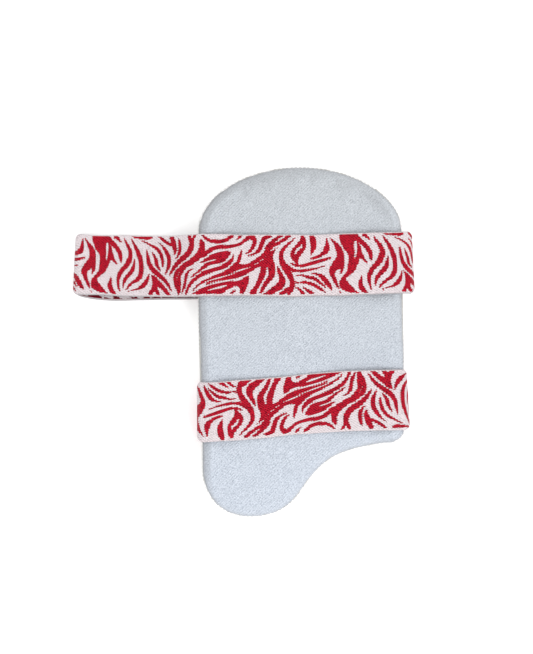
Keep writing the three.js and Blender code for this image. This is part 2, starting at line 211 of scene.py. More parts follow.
def nearestOnSpine(points):  # the spine runs down the body's middle and then down the tongue's
    spine = np.array([[0, domeFootY], [0, -0.12 * halfLength],
                      [tongueSideX + pad["tongueTipInset"], tipY + pad["tongueShoulder"]]])
    feet = []
    gaps = []
    for start, end in zip(spine[:-1], spine[1:]):
        share, gap = toStraight(points[:, 0], points[:, 1], start, end)
        feet.append(start + share[:, None] * (end - start))
        gaps.append(gap)
    return np.where((gaps[0] <= gaps[1])[:, None], feet[0], feet[1])


def roundOff(share):  # how far a quarter ellipse has turned away from its face
    return 1 - np.sqrt(1 - (1 - share) ** 2)


foam = {
    "spacing": 3, "faceRings": 12,
    "snapReach": 16, "flatEnd": 20,  # how far in from the edge points are moved, and the profile is drawn
    "cloth": {"quality": 6, "mass": 0.3, "tension_stiffness": 20, "compression_stiffness": 20,
              "bending_stiffness": 2},
    "weightSteps": 10,
    "sideFade": 9, "crestFrom": 55, "crestFade": 18,  # beside a strap, and from the middle out to its crests
}


# A closed slab of the pad's plan: rings round its edge at each inset and height of the profile, between
# rings that close on the spine on both faces. The dish lifts every point.
def slabSurface(profile):
    edge = padOutline(foam["spacing"])
    normals = outwardNormals(edge)
    shares = np.linspace(0, 1, foam["faceRings"] + 1)[1:]

    def dished(ring, height):
        return np.column_stack([ring, height + dishLift(ring[:, 0])])

    def face(inset, height):
        rim = edge - normals * inset
        return [dished(rim + share * (nearestOnSpine(rim) - rim), height) for share in shares]

    rings = face(*profile[0])[::-1]
    rings += [dished(edge - normals * inset, height) for inset, height in profile]
    rings += face(*profile[-1])
    return np.concatenate(rings), gridFaces(len(rings), len(edge))


cushionLook = {
    "edgeShares": [0.0, 0.05, 0.12, 0.24, 0.4, 0.6, 0.8, 1.0], "startInset": 0.0, "startSink": 0.7,
    "voxel": 4.0, "pressure": 0.7, "frames": 20, "movementCap": 1.6, "levels": 2,
    "seamHold": 1.5, "seamFade": 3, "faceFrom": 0.2, "faceFade": 0.5, "exposedFrom": 1, "exposedFade": 2,
    "crown": 1.4, "crownReach": 75, "loopPitch": 2.3, "loopHeight": 0.1, "lumpPitch": 21, "lumpHeight": 0.35,
    "creases": ({"x": -17.5, "depth": 0.8, "width": 1.8}, {"x": 28.6, "depth": 0.6, "width": 1.6}),
    "creaseWander": 1.6, "creaseReach": 60, "creaseFade": 0.25, "creasePatch": 25,
    # these two lines set painted shade on the towelling's steep sides and on sides that face away from the
    # key light
    "paintedSlopeShade": 0.6, "paintedSlopeFrom": 0.97, "paintedSlopeFade": 0.6,
    "awayFromLightTurn": 145, "paintedAwayShade": 0.45, "paintedAwayFrom": -0.2, "paintedAwayFade": 1.9,
}
shellLook = {
    "edgeShares": [1.0, 0.8, 0.6, 0.4, 0.24, 0.12, 0.05, 0.0], "startInset": -0.55,
    "voxel": 4.0, "pressure": 0.4, "frames": 12, "movementCap": 0.3, "levels": 2,
    "seamHold": 1, "seamFade": 1.5, "faceFrom": 0.1, "faceFade": 0.5, "lumpPitch": 26, "lumpHeight": 0.12,
}


def cushionProfile():  # insets and heights of the towelling half's edge, from the seam up
    rows = [(2 * pad["rim"], cushionFloor), (pad["rim"], cushionFloor + 0.6 * pad["cushionCrown"])]
    for share in cushionLook["edgeShares"]:
        rows.append((pad["rim"] + share * pad["cushionRoll"],
                     cushionTop - cushionRollHeight * roundOff(share)))
    return [(inset + cushionLook["startInset"],
             height - cushionLook["startSink"] * (height - cushionFloor) / pad["cushionThickness"])
            for inset, height in rows]


def shellProfile():  # insets and heights of the foam half's edge, from its rounded underside up
    rows = [(share * pad["shellRoll"], shellFloor + shellRollHeight * roundOff(share))
            for share in shellLook["edgeShares"]]
    top = shellFloor + pad["shellThickness"]
    rows += [(0, top), (2 * pad["rim"], top)]
    return [(inset + shellLook["startInset"], height) for inset, height in rows]


def bakeModifiers(piece):  # keeps what the modifiers show as the piece's own mesh
    shown = bpy.context.evaluated_depsgraph_get()
    mesh = bpy.data.meshes.new_from_object(piece.evaluated_get(shown))
    piece.modifiers.clear()
    old = piece.data
    piece.data = mesh
    bpy.data.meshes.remove(old)
    mesh.name = piece.name


def readPoints(mesh):  # back from metres in the frame to millimetres on the pad
    flat = np.empty(len(mesh.vertices) * 3)
    mesh.vertices.foreach_get("co", flat)
    return flat.reshape(-1, 3) * 1000 - padPlace


def writePoints(mesh, points):
    mesh.vertices.foreach_set("co", toFrame(points).ravel())
    mesh.update()


def readNormals(mesh):
    flat = np.empty(len(mesh.vertices) * 3)
    mesh.vertex_normals.foreach_get("vector", flat)
    return flat.reshape(-1, 3)


# How hard the straps press, from 0 to 1: they touch the towelling only at the two crests.
def strapPress(points):
    x, y = points[:, 0], points[:, 1]
    thighMiddle = thigh["height"] - thigh["tilt"] * np.clip((halfWidth - x) / pad["width"], 0, 1)
    beside = np.minimum(np.abs(y - wander(-0.2)) - waist["width"] / 2,
                        np.abs(y - thighMiddle) - thigh["width"] / 2)
    atCrest = smoothStep((np.abs(x) - foam["crestFrom"]) / foam["crestFade"])
    return smoothStep(1 - (beside - 1) / foam["sideFade"]) * atCrest


# The remeshed slab is ragged at its edge, so points near it go to the nearest place on the profile.
def snapToProfile(points, profile):
    outline = padOutline(1)
    normals = outwardNormals(outline)
    plan = points[:, :2]
    apart = (plan ** 2).sum(axis=1)[:, None] - 2 * plan @ outline.T + (outline ** 2).sum(axis=1)[None]
    near = np.argmin(apart, axis=1)
    inset = -np.sum((plan - outline[near]) * normals[near], axis=1)
    level = points[:, 2] - dishLift(points[:, 0])
    line = np.array([(foam["flatEnd"], profile[0][1]), *profile, (foam["flatEnd"], profile[-1][1])])
    least = np.full(len(points), np.inf)
    target = np.column_stack([inset, level])
    for start, end in zip(line[:-1], line[1:]):
        share, gap = toStraight(inset, level, start, end)
        closer = (gap < least) & (inset < foam["snapReach"])
        target = np.where(closer[:, None], start + share[:, None] * (end - start), target)
        least = np.minimum(least, gap)
    moved = plan + normals[near] * (inset - target[:, 0])[:, None]
    return np.column_stack([moved, target[:, 1] + dishLift(moved[:, 0])])


def heldAtSeam(points, seam, look):  # from 0 to 1, by how near the seam's height each point is
    away = np.abs(points[:, 2] - dishLift(points[:, 0]) - seam)
    return smoothStep(1 - (away - look["seamHold"]) / look["seamFade"])


# Foam under cloth: the slab is remeshed evenly, blown up as cloth with its seam held still, kept near its
# start by a soft cap, and then subdivided.
def foamForm(name, profile, look, seam):
    piece = makePiece(name, *slabSurface(profile))
    remesh = piece.modifiers.new("even", "REMESH")
    remesh.mode = "VOXEL"
    remesh.voxel_size = look["voxel"] * 0.001
    bakeModifiers(piece)
    start = snapToProfile(readPoints(piece.data), profile)
    writePoints(piece.data, start)
    held = piece.vertex_groups.new(name="held")
    weights = np.round(heldAtSeam(start, seam, look) * foam["weightSteps"])
    for step in range(1, foam["weightSteps"] + 1):
        held.add(np.flatnonzero(weights == step).tolist(), step / foam["weightSteps"], "REPLACE")
    cloth = piece.modifiers.new("blown", "CLOTH")
    for setting, amount in foam["cloth"].items():
        setattr(cloth.settings, setting, amount)
    cloth.settings.use_pressure = True
    cloth.settings.uniform_pressure_force = look["pressure"]
    cloth.settings.effector_weights.gravity = 0
    cloth.settings.vertex_group_mass = "held"
    cloth.point_cache.frame_start = 1
    cloth.point_cache.frame_end = look["frames"]
    for step in range(1, look["frames"] + 1):
        bpy.context.scene.frame_set(step)
    bakeModifiers(piece)
    bpy.context.scene.frame_set(1)
    moved = readPoints(piece.data) - start
    distance = np.linalg.norm(moved, axis=1)[:, None]
    room = look["movementCap"] * (1 - strapPress(start))[:, None]
    moved *= room * np.tanh(distance / np.maximum(room, 1e-6)) / np.maximum(distance, 1e-6)
    writePoints(piece.data, start + moved)
    print(name, "moved", round(float(distance.max()), 2), "mm at most before its cap")
    smooth = piece.modifiers.new("smooth", "SUBSURF")
    smooth.levels = look["levels"]
    smooth.render_levels = look["levels"]
    bakeModifiers(piece)
    piece.data.shade_smooth()
    piece.vertex_groups.clear()
    return piece


def makeCushion():
    look = cushionLook
    piece = foamForm("towelling_leg_face", cushionProfile(), look, cushionFloor)
    points = readPoints(piece.data)
    normals = readNormals(piece.data)
    x, y = points[:, 0], points[:, 1]
    faceUp = smoothStep((normals[:, 2] - look["faceFrom"]) / look["faceFade"])
    aboveSeam = points[:, 2] - dishLift(x) - cushionFloor
    exposed = smoothStep((aboveSeam - look["exposedFrom"]) / look["exposedFade"])
    free = 1 - strapPress(points)
    rise = look["lumpHeight"] * latticeNoise(points, look["lumpPitch"], 3) * free * exposed
    rise += look["crown"] * np.maximum(0, 1 - (x / look["crownReach"]) ** 2) ** 2 * faceUp
    for crease in look["creases"]:
        stray = latticeNoise(np.column_stack([y, y * 0, y * 0]), look["creaseReach"], 5)
        middle = crease["x"] + look["creaseWander"] * stray
        faint = look["creaseFade"] * (1 - latticeNoise(points, look["creasePatch"], 8))
        depth = crease["depth"] * (1 - faint)
        rise -= depth * np.exp(-((x - middle) / crease["width"]) ** 2) * faceUp
    rise += look["loopHeight"] * latticeNoise(points, look["loopPitch"], 11) * exposed
    writePoints(piece.data, points + normals * rise[:, None])
    sideways = normals[:, :2] / (np.linalg.norm(normals[:, :2], axis=1)[:, None] + 1e-6)
    facingAwayFromLight = np.maximum(0, sideways @ direction(look["awayFromLightTurn"]))  # facing away from the key light, where shade is painted
    drop = cushionTop + dishLift(x) - points[:, 2]
    # painted shade: darker colour on steep sides and on sides that face away from the key light
    paintedEdgeShade = look["paintedSlopeShade"] * smoothStep((look["paintedSlopeFrom"] - normals[:, 2]) / look["paintedSlopeFade"])
    paintedEdgeShade += look["paintedAwayShade"] * facingAwayFromLight * smoothStep((drop - look["paintedAwayFrom"]) / look["paintedAwayFade"])
    setAttribute(piece, "paintedEdgeShade", paintedEdgeShade)
    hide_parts("towelling_cushion")
    return piece


def makeShell():
    look = shellLook
    piece = foamForm("foam_shell_cover", shellProfile(), look, shellFloor + pad["shellThickness"])
    points = readPoints(piece.data)
    normals = readNormals(piece.data)
    faceDown = smoothStep((-normals[:, 2] - look["faceFrom"]) / look["faceFade"])
    free = faceDown * (1 - strapPress(points))
    rise = look["lumpHeight"] * latticeNoise(points, look["lumpPitch"], 17) * free
    writePoints(piece.data, points + normals * rise[:, None])
    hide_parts("outer_shell")
    return piece


# The straps' routes, row by row: each row places a strap's middle, and lean lays a fold aslant.

def blend(start, end, share):  # start at 0 and end at 1
    return start + (end - start) * share


def rowsUnderShell(start, end, below, y):
    steps = max(1, round(abs(end - start) / elastic["followStep"]))
    places = [blend(start, end, i / steps) for i in range(steps + 1)]
    return [{"x": x, "y": y, "z": shellFloor + float(dishLift(x)) - below, "lean": 0} for x in places]


def besideCushion(edgeX, slack, turn):  # a sheared quarter ellipse beside the towelling's rolled edge
    roll = pad["rim"] + pad["cushionRoll"]
    out = abs(edgeX) - roll + (roll + slack) * np.sin(turn)
    rise = (cushionRollHeight + elastic["seatGap"] + halfStrap) * np.cos(turn)
    lift = float(dishLift(min(out, abs(edgeX))))
    return out * np.sign(edgeX), cushionTop - cushionRollHeight + rise + lift


def besideShell(edgeX, slack, below, turn):  # the same beside the foam's rounded underside
    out = abs(edgeX) - pad["shellRoll"] + (pad["shellRoll"] + slack) * np.sin(turn)
    drop = (shellRollHeight + below) * np.cos(turn)
    lift = float(dishLift(min(out, abs(edgeX))))
    return out * np.sign(edgeX), shellFloor + shellRollHeight - drop + lift


def crestTurn(edgeX, slack):  # the turn, up to 60 degrees, at which the strap is highest
    return max(np.radians(np.arange(61)), key=lambda turn: besideCushion(edgeX, slack, turn)[1])


def rowsRoundEdge(edgeX, slack, below, lean, yOver, yUnder):  # from the crest round to the underside
    crest = crestTurn(edgeX, slack)
    sideTurn = np.radians(elastic["sideTurn"])
    places = [besideCushion(edgeX, slack, blend(crest, sideTurn, share)) for share in (0, 0.35, 0.7, 1)]
    places += [besideShell(edgeX, slack, below, share * sideTurn) for share in (1, 0.65, 0.3)]
    reach = abs(edgeX) + slack
    return [{"x": x, "z": z, "y": blend(yOver, yUnder, i / (len(places) - 1)),
             "lean": np.sign(edgeX) * lean * max(0, 1 - (reach - abs(x)) / pad["cushionRoll"])}
            for i, (x, z) in enumerate(places)]


def wander(share):  # the waist strap's middle, strayed by a share of its wander
    return waist["height"] + share * waist["wander"]


def waistRows():  # under the short flank, over the leg face, out past the long flank and back underneath
    lean = waist["loopLean"]
    fold = rowsRoundEdge(halfWidth, waist["foldSlack"], sewnBelow, lean, wander(0.1), wander(0.3))
    farX, farZ = besideCushion(-halfWidth, 0, crestTurn(-halfWidth, 0))
    under = rowsUnderShell(halfWidth - pad["shellRoll"], elastic["sewnEnd"], sewnBelow, wander(0.3))
    across = [{"x": blend(fold[0]["x"], farX, place), "y": wander(stray), "lean": 0,
               "z": blend(fold[0]["z"], farZ, place) - sag * elastic["bridgeSag"]}
              for place, sag, stray in ((0.25, 0.7, -0.2), (0.5, 1, -0.45), (0.75, 0.7, -0.42),
                                        (1, 0, -0.36))]
    loopTop = halfStrap + elastic["thickness"] + waist["loopGap"]
    slope = [{"x": farX - down * waist["loopSlope"], "y": wander(stray), "lean": -lean * down,
              "z": blend(loopTop, farZ, (1 + np.cos(down * np.pi)) / 2)}
             for down, stray in ((0.1, -0.36), (0.22, -0.38), (0.38, -0.38), (0.54, -0.38), (0.7, -0.35),
                                 (0.86, -0.3), (1, -0.25))]
    flatStart = farX - waist["loopSlope"]
    endX = -halfWidth - waist["loopReach"] + halfStrap + waist["loopEndRadius"]
    endZ = halfStrap + waist["loopEndRadius"]
    outRun = [{"x": blend(flatStart, endX, out), "y": wander(stray), "lean": -lean,
               "z": blend(loopTop, endZ + waist["loopEndRadius"], out ** 4)}
              for out, stray in ((0.3, -0.2), (0.65, -0.05), (0.92, 0.04))]
    loopEnd = [{"x": endX - waist["loopEndRadius"] * np.cos(turn), "y": wander(0.15), "lean": -lean,
                "z": endZ + waist["loopEndRadius"] * np.sin(turn)} for turn in np.radians([70, 25, -20, -65])]
    backRun = [{"x": blend(flatStart, endX, out), "y": wander(stray), "lean": -lean / 2, "z": halfStrap}
               for out, stray in ((0.93, -0.35), (0.75, -0.85), (0.5, -1.05), (0.2, -0.95), (-0.2, -0.9))]
    hook = rowsUnderShell(-elastic["hookEnd"] - elastic["patchLength"], -elastic["hookEnd"], hookBelow,
                          wander(waist["hookStray"]))
    lead = dict(hook[0], x=blend(hook[0]["x"], hook[1]["x"], -0.5), z=blend(hook[0]["z"], hook[1]["z"], -0.5))
    return under[::-1] + fold[::-1] + across + slope + outRun + loopEnd + backRun + [lead] + hook


def thighRows():  # sewn under the long flank, over the leg face and round the short flank
    lowY = thigh["height"] - thigh["tilt"]
    halfBand = thigh["width"] / 2
    outline = padOutline(1)

    def flankReach(side, middle):
        beside = outline[np.abs(outline[:, 1] - middle) < halfBand]
        return side * np.max(beside[:, 0] * side)

    longEdge = flankReach(-1, lowY)
    shortEdge = flankReach(1, thigh["height"])
    longFold = rowsRoundEdge(longEdge, thigh["foldSlack"], sewnBelow, 0, lowY, lowY)
    shortFold = rowsRoundEdge(shortEdge, thigh["foldSlack"], hookBelow, thigh["foldLean"],
                              thigh["height"], thigh["height"])
    sewn = rowsUnderShell(-elastic["sewnEnd"], longEdge + pad["shellRoll"], sewnBelow, lowY)
    hook = rowsUnderShell(shortEdge - pad["shellRoll"], elastic["hookEnd"], hookBelow, thigh["height"])
    across = [{"x": blend(longFold[0]["x"], shortFold[0]["x"], place), "y": lowY + rise * thigh["tilt"],
               "z": blend(longFold[0]["z"], shortFold[0]["z"], place) - sag * elastic["bridgeSag"], "lean": 0}
              for place, sag, rise in ((0.14, 0.5, 0.13), (0.3, 0.9, 0.32), (0.5, 1, 0.63), (0.7, 0.9, 0.86),
                                       (0.86, 0.5, 0.95))]
    return sewn + longFold[::-1] + across + shortFold + hook


# A smooth curve through points, at places counted in points: a centripetal Catmull-Rom spline, whose
# speed at each point is set by the square roots of the hops on both sides.
def throughPoints(points, places):
    points = np.asarray(points, dtype=float)
    padded = np.concatenate([[2 * points[0] - points[1]], points, [2 * points[-1] - points[-2]]])
    hop = np.clip(np.floor(places).astype(int), 0, len(points) - 2)
    t = (places - hop)[:, None]
    before, start, end, after = (padded[hop + i] for i in range(4))
    gaps = [np.sqrt(np.linalg.norm(b - a, axis=1))[:, None] + 1e-9
            for a, b in ((before, start), (start, end), (end, after))]
    straight = (end - start) / gaps[1]
    leave = ((start - before) / gaps[0] - (end - before) / (gaps[0] + gaps[1]) + straight) * gaps[1]
    arrive = (straight - (after - start) / (gaps[1] + gaps[2]) + (after - end) / gaps[2]) * gaps[1]
    return (start + leave * t + (3 * (end - start) - 2 * leave - arrive) * t ** 2
            + (2 * (start - end) + leave + arrive) * t ** 3)


# The zebra figure, charted over one repeat: cells along the strap, cells across it from its
# upper edge in the photo, and half a stroke's width. It repeats after chart["repeat"] cells. Distances
# are worked out within reach of each shape, and elsewhere they stay far.
chart = {"repeat": 246, "strokePieces": 4, "blotPieces": 3, "reach": 6, "far": 9}
strokes = [
    [(252, 4, .3), (252, 8, 1.1), (251.8, 12, 2), (251.3, 15, 2.5), (250, 17.3, 2.3), (247.5, 19.3, 1.6),
     (243.5, 21.3, 1.2), (239, 22.8, .8), (235.5, 23.6, .4)],
    [(216, 28, .4), (218.5, 29, .9), (222, 30, 1.1), (227, 30, 1.2), (231, 29.3, 1.2), (235, 28.2, 1.5),
     (239, 27.3, 1.7), (242.5, 26.3, 1.5), (246, 25.5, 1.3), (250, 24.5, 1), (253, 23.5, .8),
     (255.3, 23.2, .6)],
    [(236.5, 37.6, .3), (239.5, 37.9, .8), (242.5, 38.8, 1), (245, 40, 1.6), (247.5, 42.3, 2.1),
     (250.5, 46.3, 2.2), (253, 50.2, 1.7), (254.8, 53.3, .8)],
    [(221, 39.3, .3), (225, 39.3, .6), (229, 39.8, .8), (233, 41.3, 1.3), (237, 42, 1.5),
     (241, 43.8, 1.4), (244, 46.5, 1.2), (247, 49, .8), (249, 51.3, .4), (250, 52.5, .2)],
    [(221.5, 46, .8), (224, 47, .5)],
    [(225.5, 46.5, .6), (229, 46, 1.1), (233, 47, 1.3), (238, 48.5, 1.4), (242, 51, 1.4),
     (245.5, 53.5, 1.1), (248, 55.5, .5), (249.5, 57, .2)],
    [(220.5, 51, .3), (223, 51.8, .8), (225.3, 54, 1.2), (227, 56, 1.4), (228.8, 57, .9)],
    [(228, 51, .4), (230.5, 52.8, .9), (233.5, 55, 1.5), (236, 56.3, 1.3), (237.5, 57, .8)],
    [(9.3, 4.4, .4), (12.2, 8, 1), (15, 12, 2.1), (17, 16.5, 2.8), (17.6, 21, 3.1), (17.1, 25, 3.5),
     (15, 29, 4.2), (12, 32.3, 3.4), (9.8, 36, 2.8), (10.2, 40, 1.9), (12, 45, 1.5), (13.8, 49.5, 1.1),
     (15, 52.3, .5)],
    [(17.6, 21, 3), (18, 26, 2.8), (18.2, 30, 2.5), (18.7, 33.5, 1.6), (18.3, 36, 1.1), (17.2, 38.2, .5)],
    [(39, 2.6, .7), (41, 2.2, 1.6), (43, 4.3, 1.1), (45.5, 6.8, .5)],
    [(16.4, 56, .5), (16.8, 56.8, .4)],
    [(36.7, 41.8, .4), (36.2, 45, 1.2), (35.5, 49, 2), (36.3, 52.5, 2.2), (38.3, 55.5, 2),
     (40.3, 57.2, 1.1), (41.5, 57.6, .5)],
    [(49.2, 4, .4), (51, 8, 1), (53.7, 12.5, 1.5), (55.2, 17, 1.8), (55.2, 21, 2.1), (53.6, 26, 2.4),
     (51, 30.5, 2.1), (47.3, 34.5, 2), (44.7, 39, 2), (43.6, 43.5, 1.5), (43.8, 48, 1.2), (44.5, 52, .8),
     (45.5, 55, .4)],
    [(59.7, 24, .5), (59.2, 28, 1.1), (58.2, 32.5, 1.7), (56, 36.5, 1.9), (53, 40, 1.7),
     (50.5, 43.7, 1.5), (49.2, 47.5, .9), (48.7, 51, .3)],
    [(56.3, 4, .4), (58.8, 8.5, 1), (61.5, 13.5, 1.7), (64, 19, 2.1), (65.9, 25, 2.2), (66.5, 31, 2.1),
     (66.2, 37, 2.2), (64.3, 41.5, 2.2), (60.8, 44.6, 1.5), (57, 47.2, 1.1), (54, 50.3, .9),
     (52, 53.3, .4)],
    [(54.7, 55.2, .6), (54.9, 55.3, .5)],
    [(57, 54, .4), (60, 53.3, .6), (63, 52.6, 1), (66.5, 50.8, 1.7), (69.7, 48, 2), (72, 44.5, 1.7),
     (73.3, 41, 1), (73.9, 38.5, .4)],
    [(57.5, 1, .6), (59.5, 1.8, .8), (64, 2.2, .9), (68, 2.4, 1.2), (72, 2.3, 1.6), (75, 1.8, 1.2),
     (77, 1.8, .4)],
    [(67.1, 5.4, .3), (71.6, 7.2, .6), (75.7, 9.3, .8), (79.7, 11.5, 1.1), (83.5, 14.7, 1.4),
     (86, 18.7, 1.5), (87.5, 23, 1.5), (88.1, 27, 1.3), (88.3, 30.2, .7)],
    [(71.6, 14.5, .4), (72.5, 19, 1.2), (73.3, 24, 1.7), (75, 29, 2), (77.7, 33, 2.3), (81.5, 36.5, 2.2),
     (85.4, 39.4, 2), (88.9, 42.2, 1.8), (92.1, 45.5, 1.5), (94.7, 49, 1.1), (96.4, 52, .7),
     (97.5, 54, .4)],
    [(77.7, 17, .4), (79.5, 20.5, 1.1), (81.3, 25, 1.6), (82.3, 29, 1.6), (84, 32, 1), (86, 34.2, .5)],
    [(83.2, 7, .3), (85.9, 9, .4), (88.8, 12, 1.1), (91.6, 16, 1.7), (93.8, 20.5, 1.9), (94.7, 25, 1.9),
     (94.3, 29.5, 1.7), (92.8, 33.5, 1.1), (91.4, 37.5, .5)],
    [(83.9, 1.2, .9), (86.6, 3.2, 1.4), (90.3, 5.8, 1.3), (94, 8, 1.3), (97.4, 9.3, 1.5)],
    [(94.5, 2.5, .6), (96.8, 1.8, 1.5), (97.9, 4.5, 2), (98.8, 8, 2.4), (100.1, 12, 2.1),
     (100.7, 15, 1.6), (99.7, 19, .4)],
    [(104.3, 3.8, .4), (105, 7.5, 1.1), (105.6, 12, 1.5), (105.3, 16, 1.4), (103.8, 19.5, 1),
     (101.6, 22.6, .4)],
    [(117.3, 7, 2.4), (117.1, 11, 2.5), (115.8, 15, 2.6), (112.4, 19.5, 2.6), (107.8, 23.3, 2.5),
     (103.4, 27, 2.1), (100, 31, 1.6), (97.5, 35, 1.1), (95.7, 38.5, .4)],
    [(114.5, 1.8, 1.4), (115.6, 4.5, 1.5), (116.5, 7, 1.8)],
    [(122.2, .5, .5), (120.2, 2.3, 1), (118.7, 4.7, 1.4), (117.7, 7, 1.9)],
    [(126.3, 6, .8), (127.3, 9.5, 2.2), (127.4, 13.5, 2.4), (126.5, 18, 3.5), (123.5, 21.5, 3.2),
     (119.2, 24.8, 2.9), (114.6, 27.8, 2.7), (110, 30.3, 2.6), (106.2, 32.5, 1.8), (103.2, 35.3, 1.9),
     (101.3, 39, 1.7), (101, 43, 1.7), (102.2, 47, 2), (104, 51, 2.4), (104.8, 54.5, 1.4),
     (104.4, 57.3, .5)],
    [(109.7, 32, 1.8), (107.2, 36, 1.6), (105.1, 40, 1.4), (104.8, 44, 1.6), (105, 48, 2)],
    [(118.1, 33, .4), (115.3, 34.9, .8), (112.6, 37.6, 1.1), (111.5, 41.5, 1.4), (110.9, 46, 1.3),
     (109.9, 50.5, 1.1), (108.4, 54, .6), (107.2, 56.8, .3)],
    [(128, 2.2, .7), (130.8, 4.6, 1.1), (134.5, 6.6, 1.3), (139, 7.4, 1.6), (144, 7.4, 1.7),
     (149, 6.6, 1.7), (153, 4.6, 1.5), (156.3, 2.4, 1.3), (158.3, 1, .6)],
    [(128, 20.5, 2.5), (132, 17.8, 2), (137, 14.8, 1.8), (143, 13, 1.9), (149, 12.4, 1.6), (155, 12, 1.5),
     (161, 11, 1.1), (165.5, 9, 1.2), (169.5, 6, 1.5), (173.5, 3.2, 1.9), (177.5, 3, 2.4), (179.3, 6, 2),
     (178.7, 10.5, 1.7), (176.3, 14.5, 1.5), (173.5, 17.5, .9), (171.2, 18.7, .6)],
    [(166.2, 1, .9), (164.3, 2.7, .9), (162.3, 4.8, .5), (161, 6, .2)],
    [(158.4, 20.3, .4), (157.5, 23.5, 1.1), (154.8, 27.2, 1.9), (150.5, 30.3, 2), (145.5, 32.7, 1.9),
     (140, 34.3, 1.9), (134.5, 36.2, 1.9), (129, 38, 1.8), (124.3, 40.8, 1.6), (120.1, 43.5, 1.5),
     (116.5, 47, 1.4), (114.1, 51, 1.2), (112.5, 54.5, 1), (111.7, 58, .8)],
    [(166.7, 15.7, .5), (165.8, 19, 1.2), (164.2, 23.5, 1.5), (162.8, 27.5, 1.7), (160.5, 31, 2.8)],
    [(118.8, 54, .3), (121.4, 50.8, .6), (125.2, 48, .9), (130, 45.2, 1), (135, 43.3, 1.1),
     (140, 41.3, 1.2), (145, 39.5, 1.5), (150, 37.7, 1.9), (155, 35.3, 2.5), (160, 32.6, 3.3),
     (165, 31.5, 2.2), (170, 30.6, 1.7), (175, 29.3, 1.7), (180, 26.5, 1.9), (185, 23.2, 1.9),
     (189.5, 19.5, 2), (193, 15.6, 2.5)],
    [(192.5, 13.5, 2.8), (195.5, 9, 2), (198.8, 6, 1.6), (202.5, 3.3, 1.4), (206.5, 1.5, .8)],
    [(193, 14.5, 2.5), (197.5, 11.2, 1.6), (201.5, 9, 1.5), (205.5, 7.2, 1.3), (209.5, 4.8, 1.5),
     (213, 2.2, 1.3), (215.5, 1.5, .6)],
    [(131.5, 48.3, .5), (136, 46.2, .8), (141, 44.8, .9), (146, 43.6, 1), (151, 42.4, 1.6),
     (156, 41.4, 2.1), (161, 40.2, 2.5), (166, 38.3, 2.5), (171, 36, 2.3), (176, 33.6, 1.9),
     (181, 31, 1.6), (186, 28.3, 2)],
    [(160, 54.5, .6), (158.3, 55.8, 1.1), (156.3, 57.2, .8)],
    [(196, 2, .6), (192.5, 2.6, 1.6), (189, 4.3, 2), (187, 8, 2), (185.7, 12, 1.9), (183.3, 16, 1.8),
     (179.5, 18.7, 1), (175.5, 20.3, .6), (172.7, 21.1, .3)],
    [(202.8, 31.3, .5), (204.3, 36, 1.7), (206.3, 40.5, 2.3), (207.2, 45.3, 3.3), (205, 49.3, 3.5),
     (201, 52.2, 3), (197, 54.6, 2.6), (193, 56.5, 1.5), (189, 57.4, .5)],
    [(219.6, 3.9, .4), (216.5, 6.8, .7), (212.5, 9.8, 1.1), (208.8, 13.5, 1.5), (206.5, 17.5, 2),
     (206, 22, 2.2), (207.3, 27, 2.7), (210.3, 32, 3.2), (213.3, 36.5, 3), (215.5, 41, 2.5),
     (217.3, 45.5, 2.3), (217, 50, 2.4), (215.5, 54, 2), (213.5, 57, .9)],
    [(214.5, 51.5, 1.5), (211.5, 53.5, 1.7), (208.5, 55.8, 1.7), (205, 57, .6)],
    [(212, 31.5, 2.5), (216, 33.7, 1.8), (220, 34.8, 1.3), (227, 35, 1.1), (233, 34.5, 1.1),
     (238, 33.5, 1.1), (242, 33, .7), (245.5, 31.8, .4), (248, 31.2, .6), (249.2, 31.3, .3)],
    [(237, 1.3, 2.1), (238, 4.5, 2.9), (238.9, 8.5, 2.9), (238.8, 12.5, 2.4), (237.6, 16, 1.6),
     (236.4, 19.5, .4)],
]
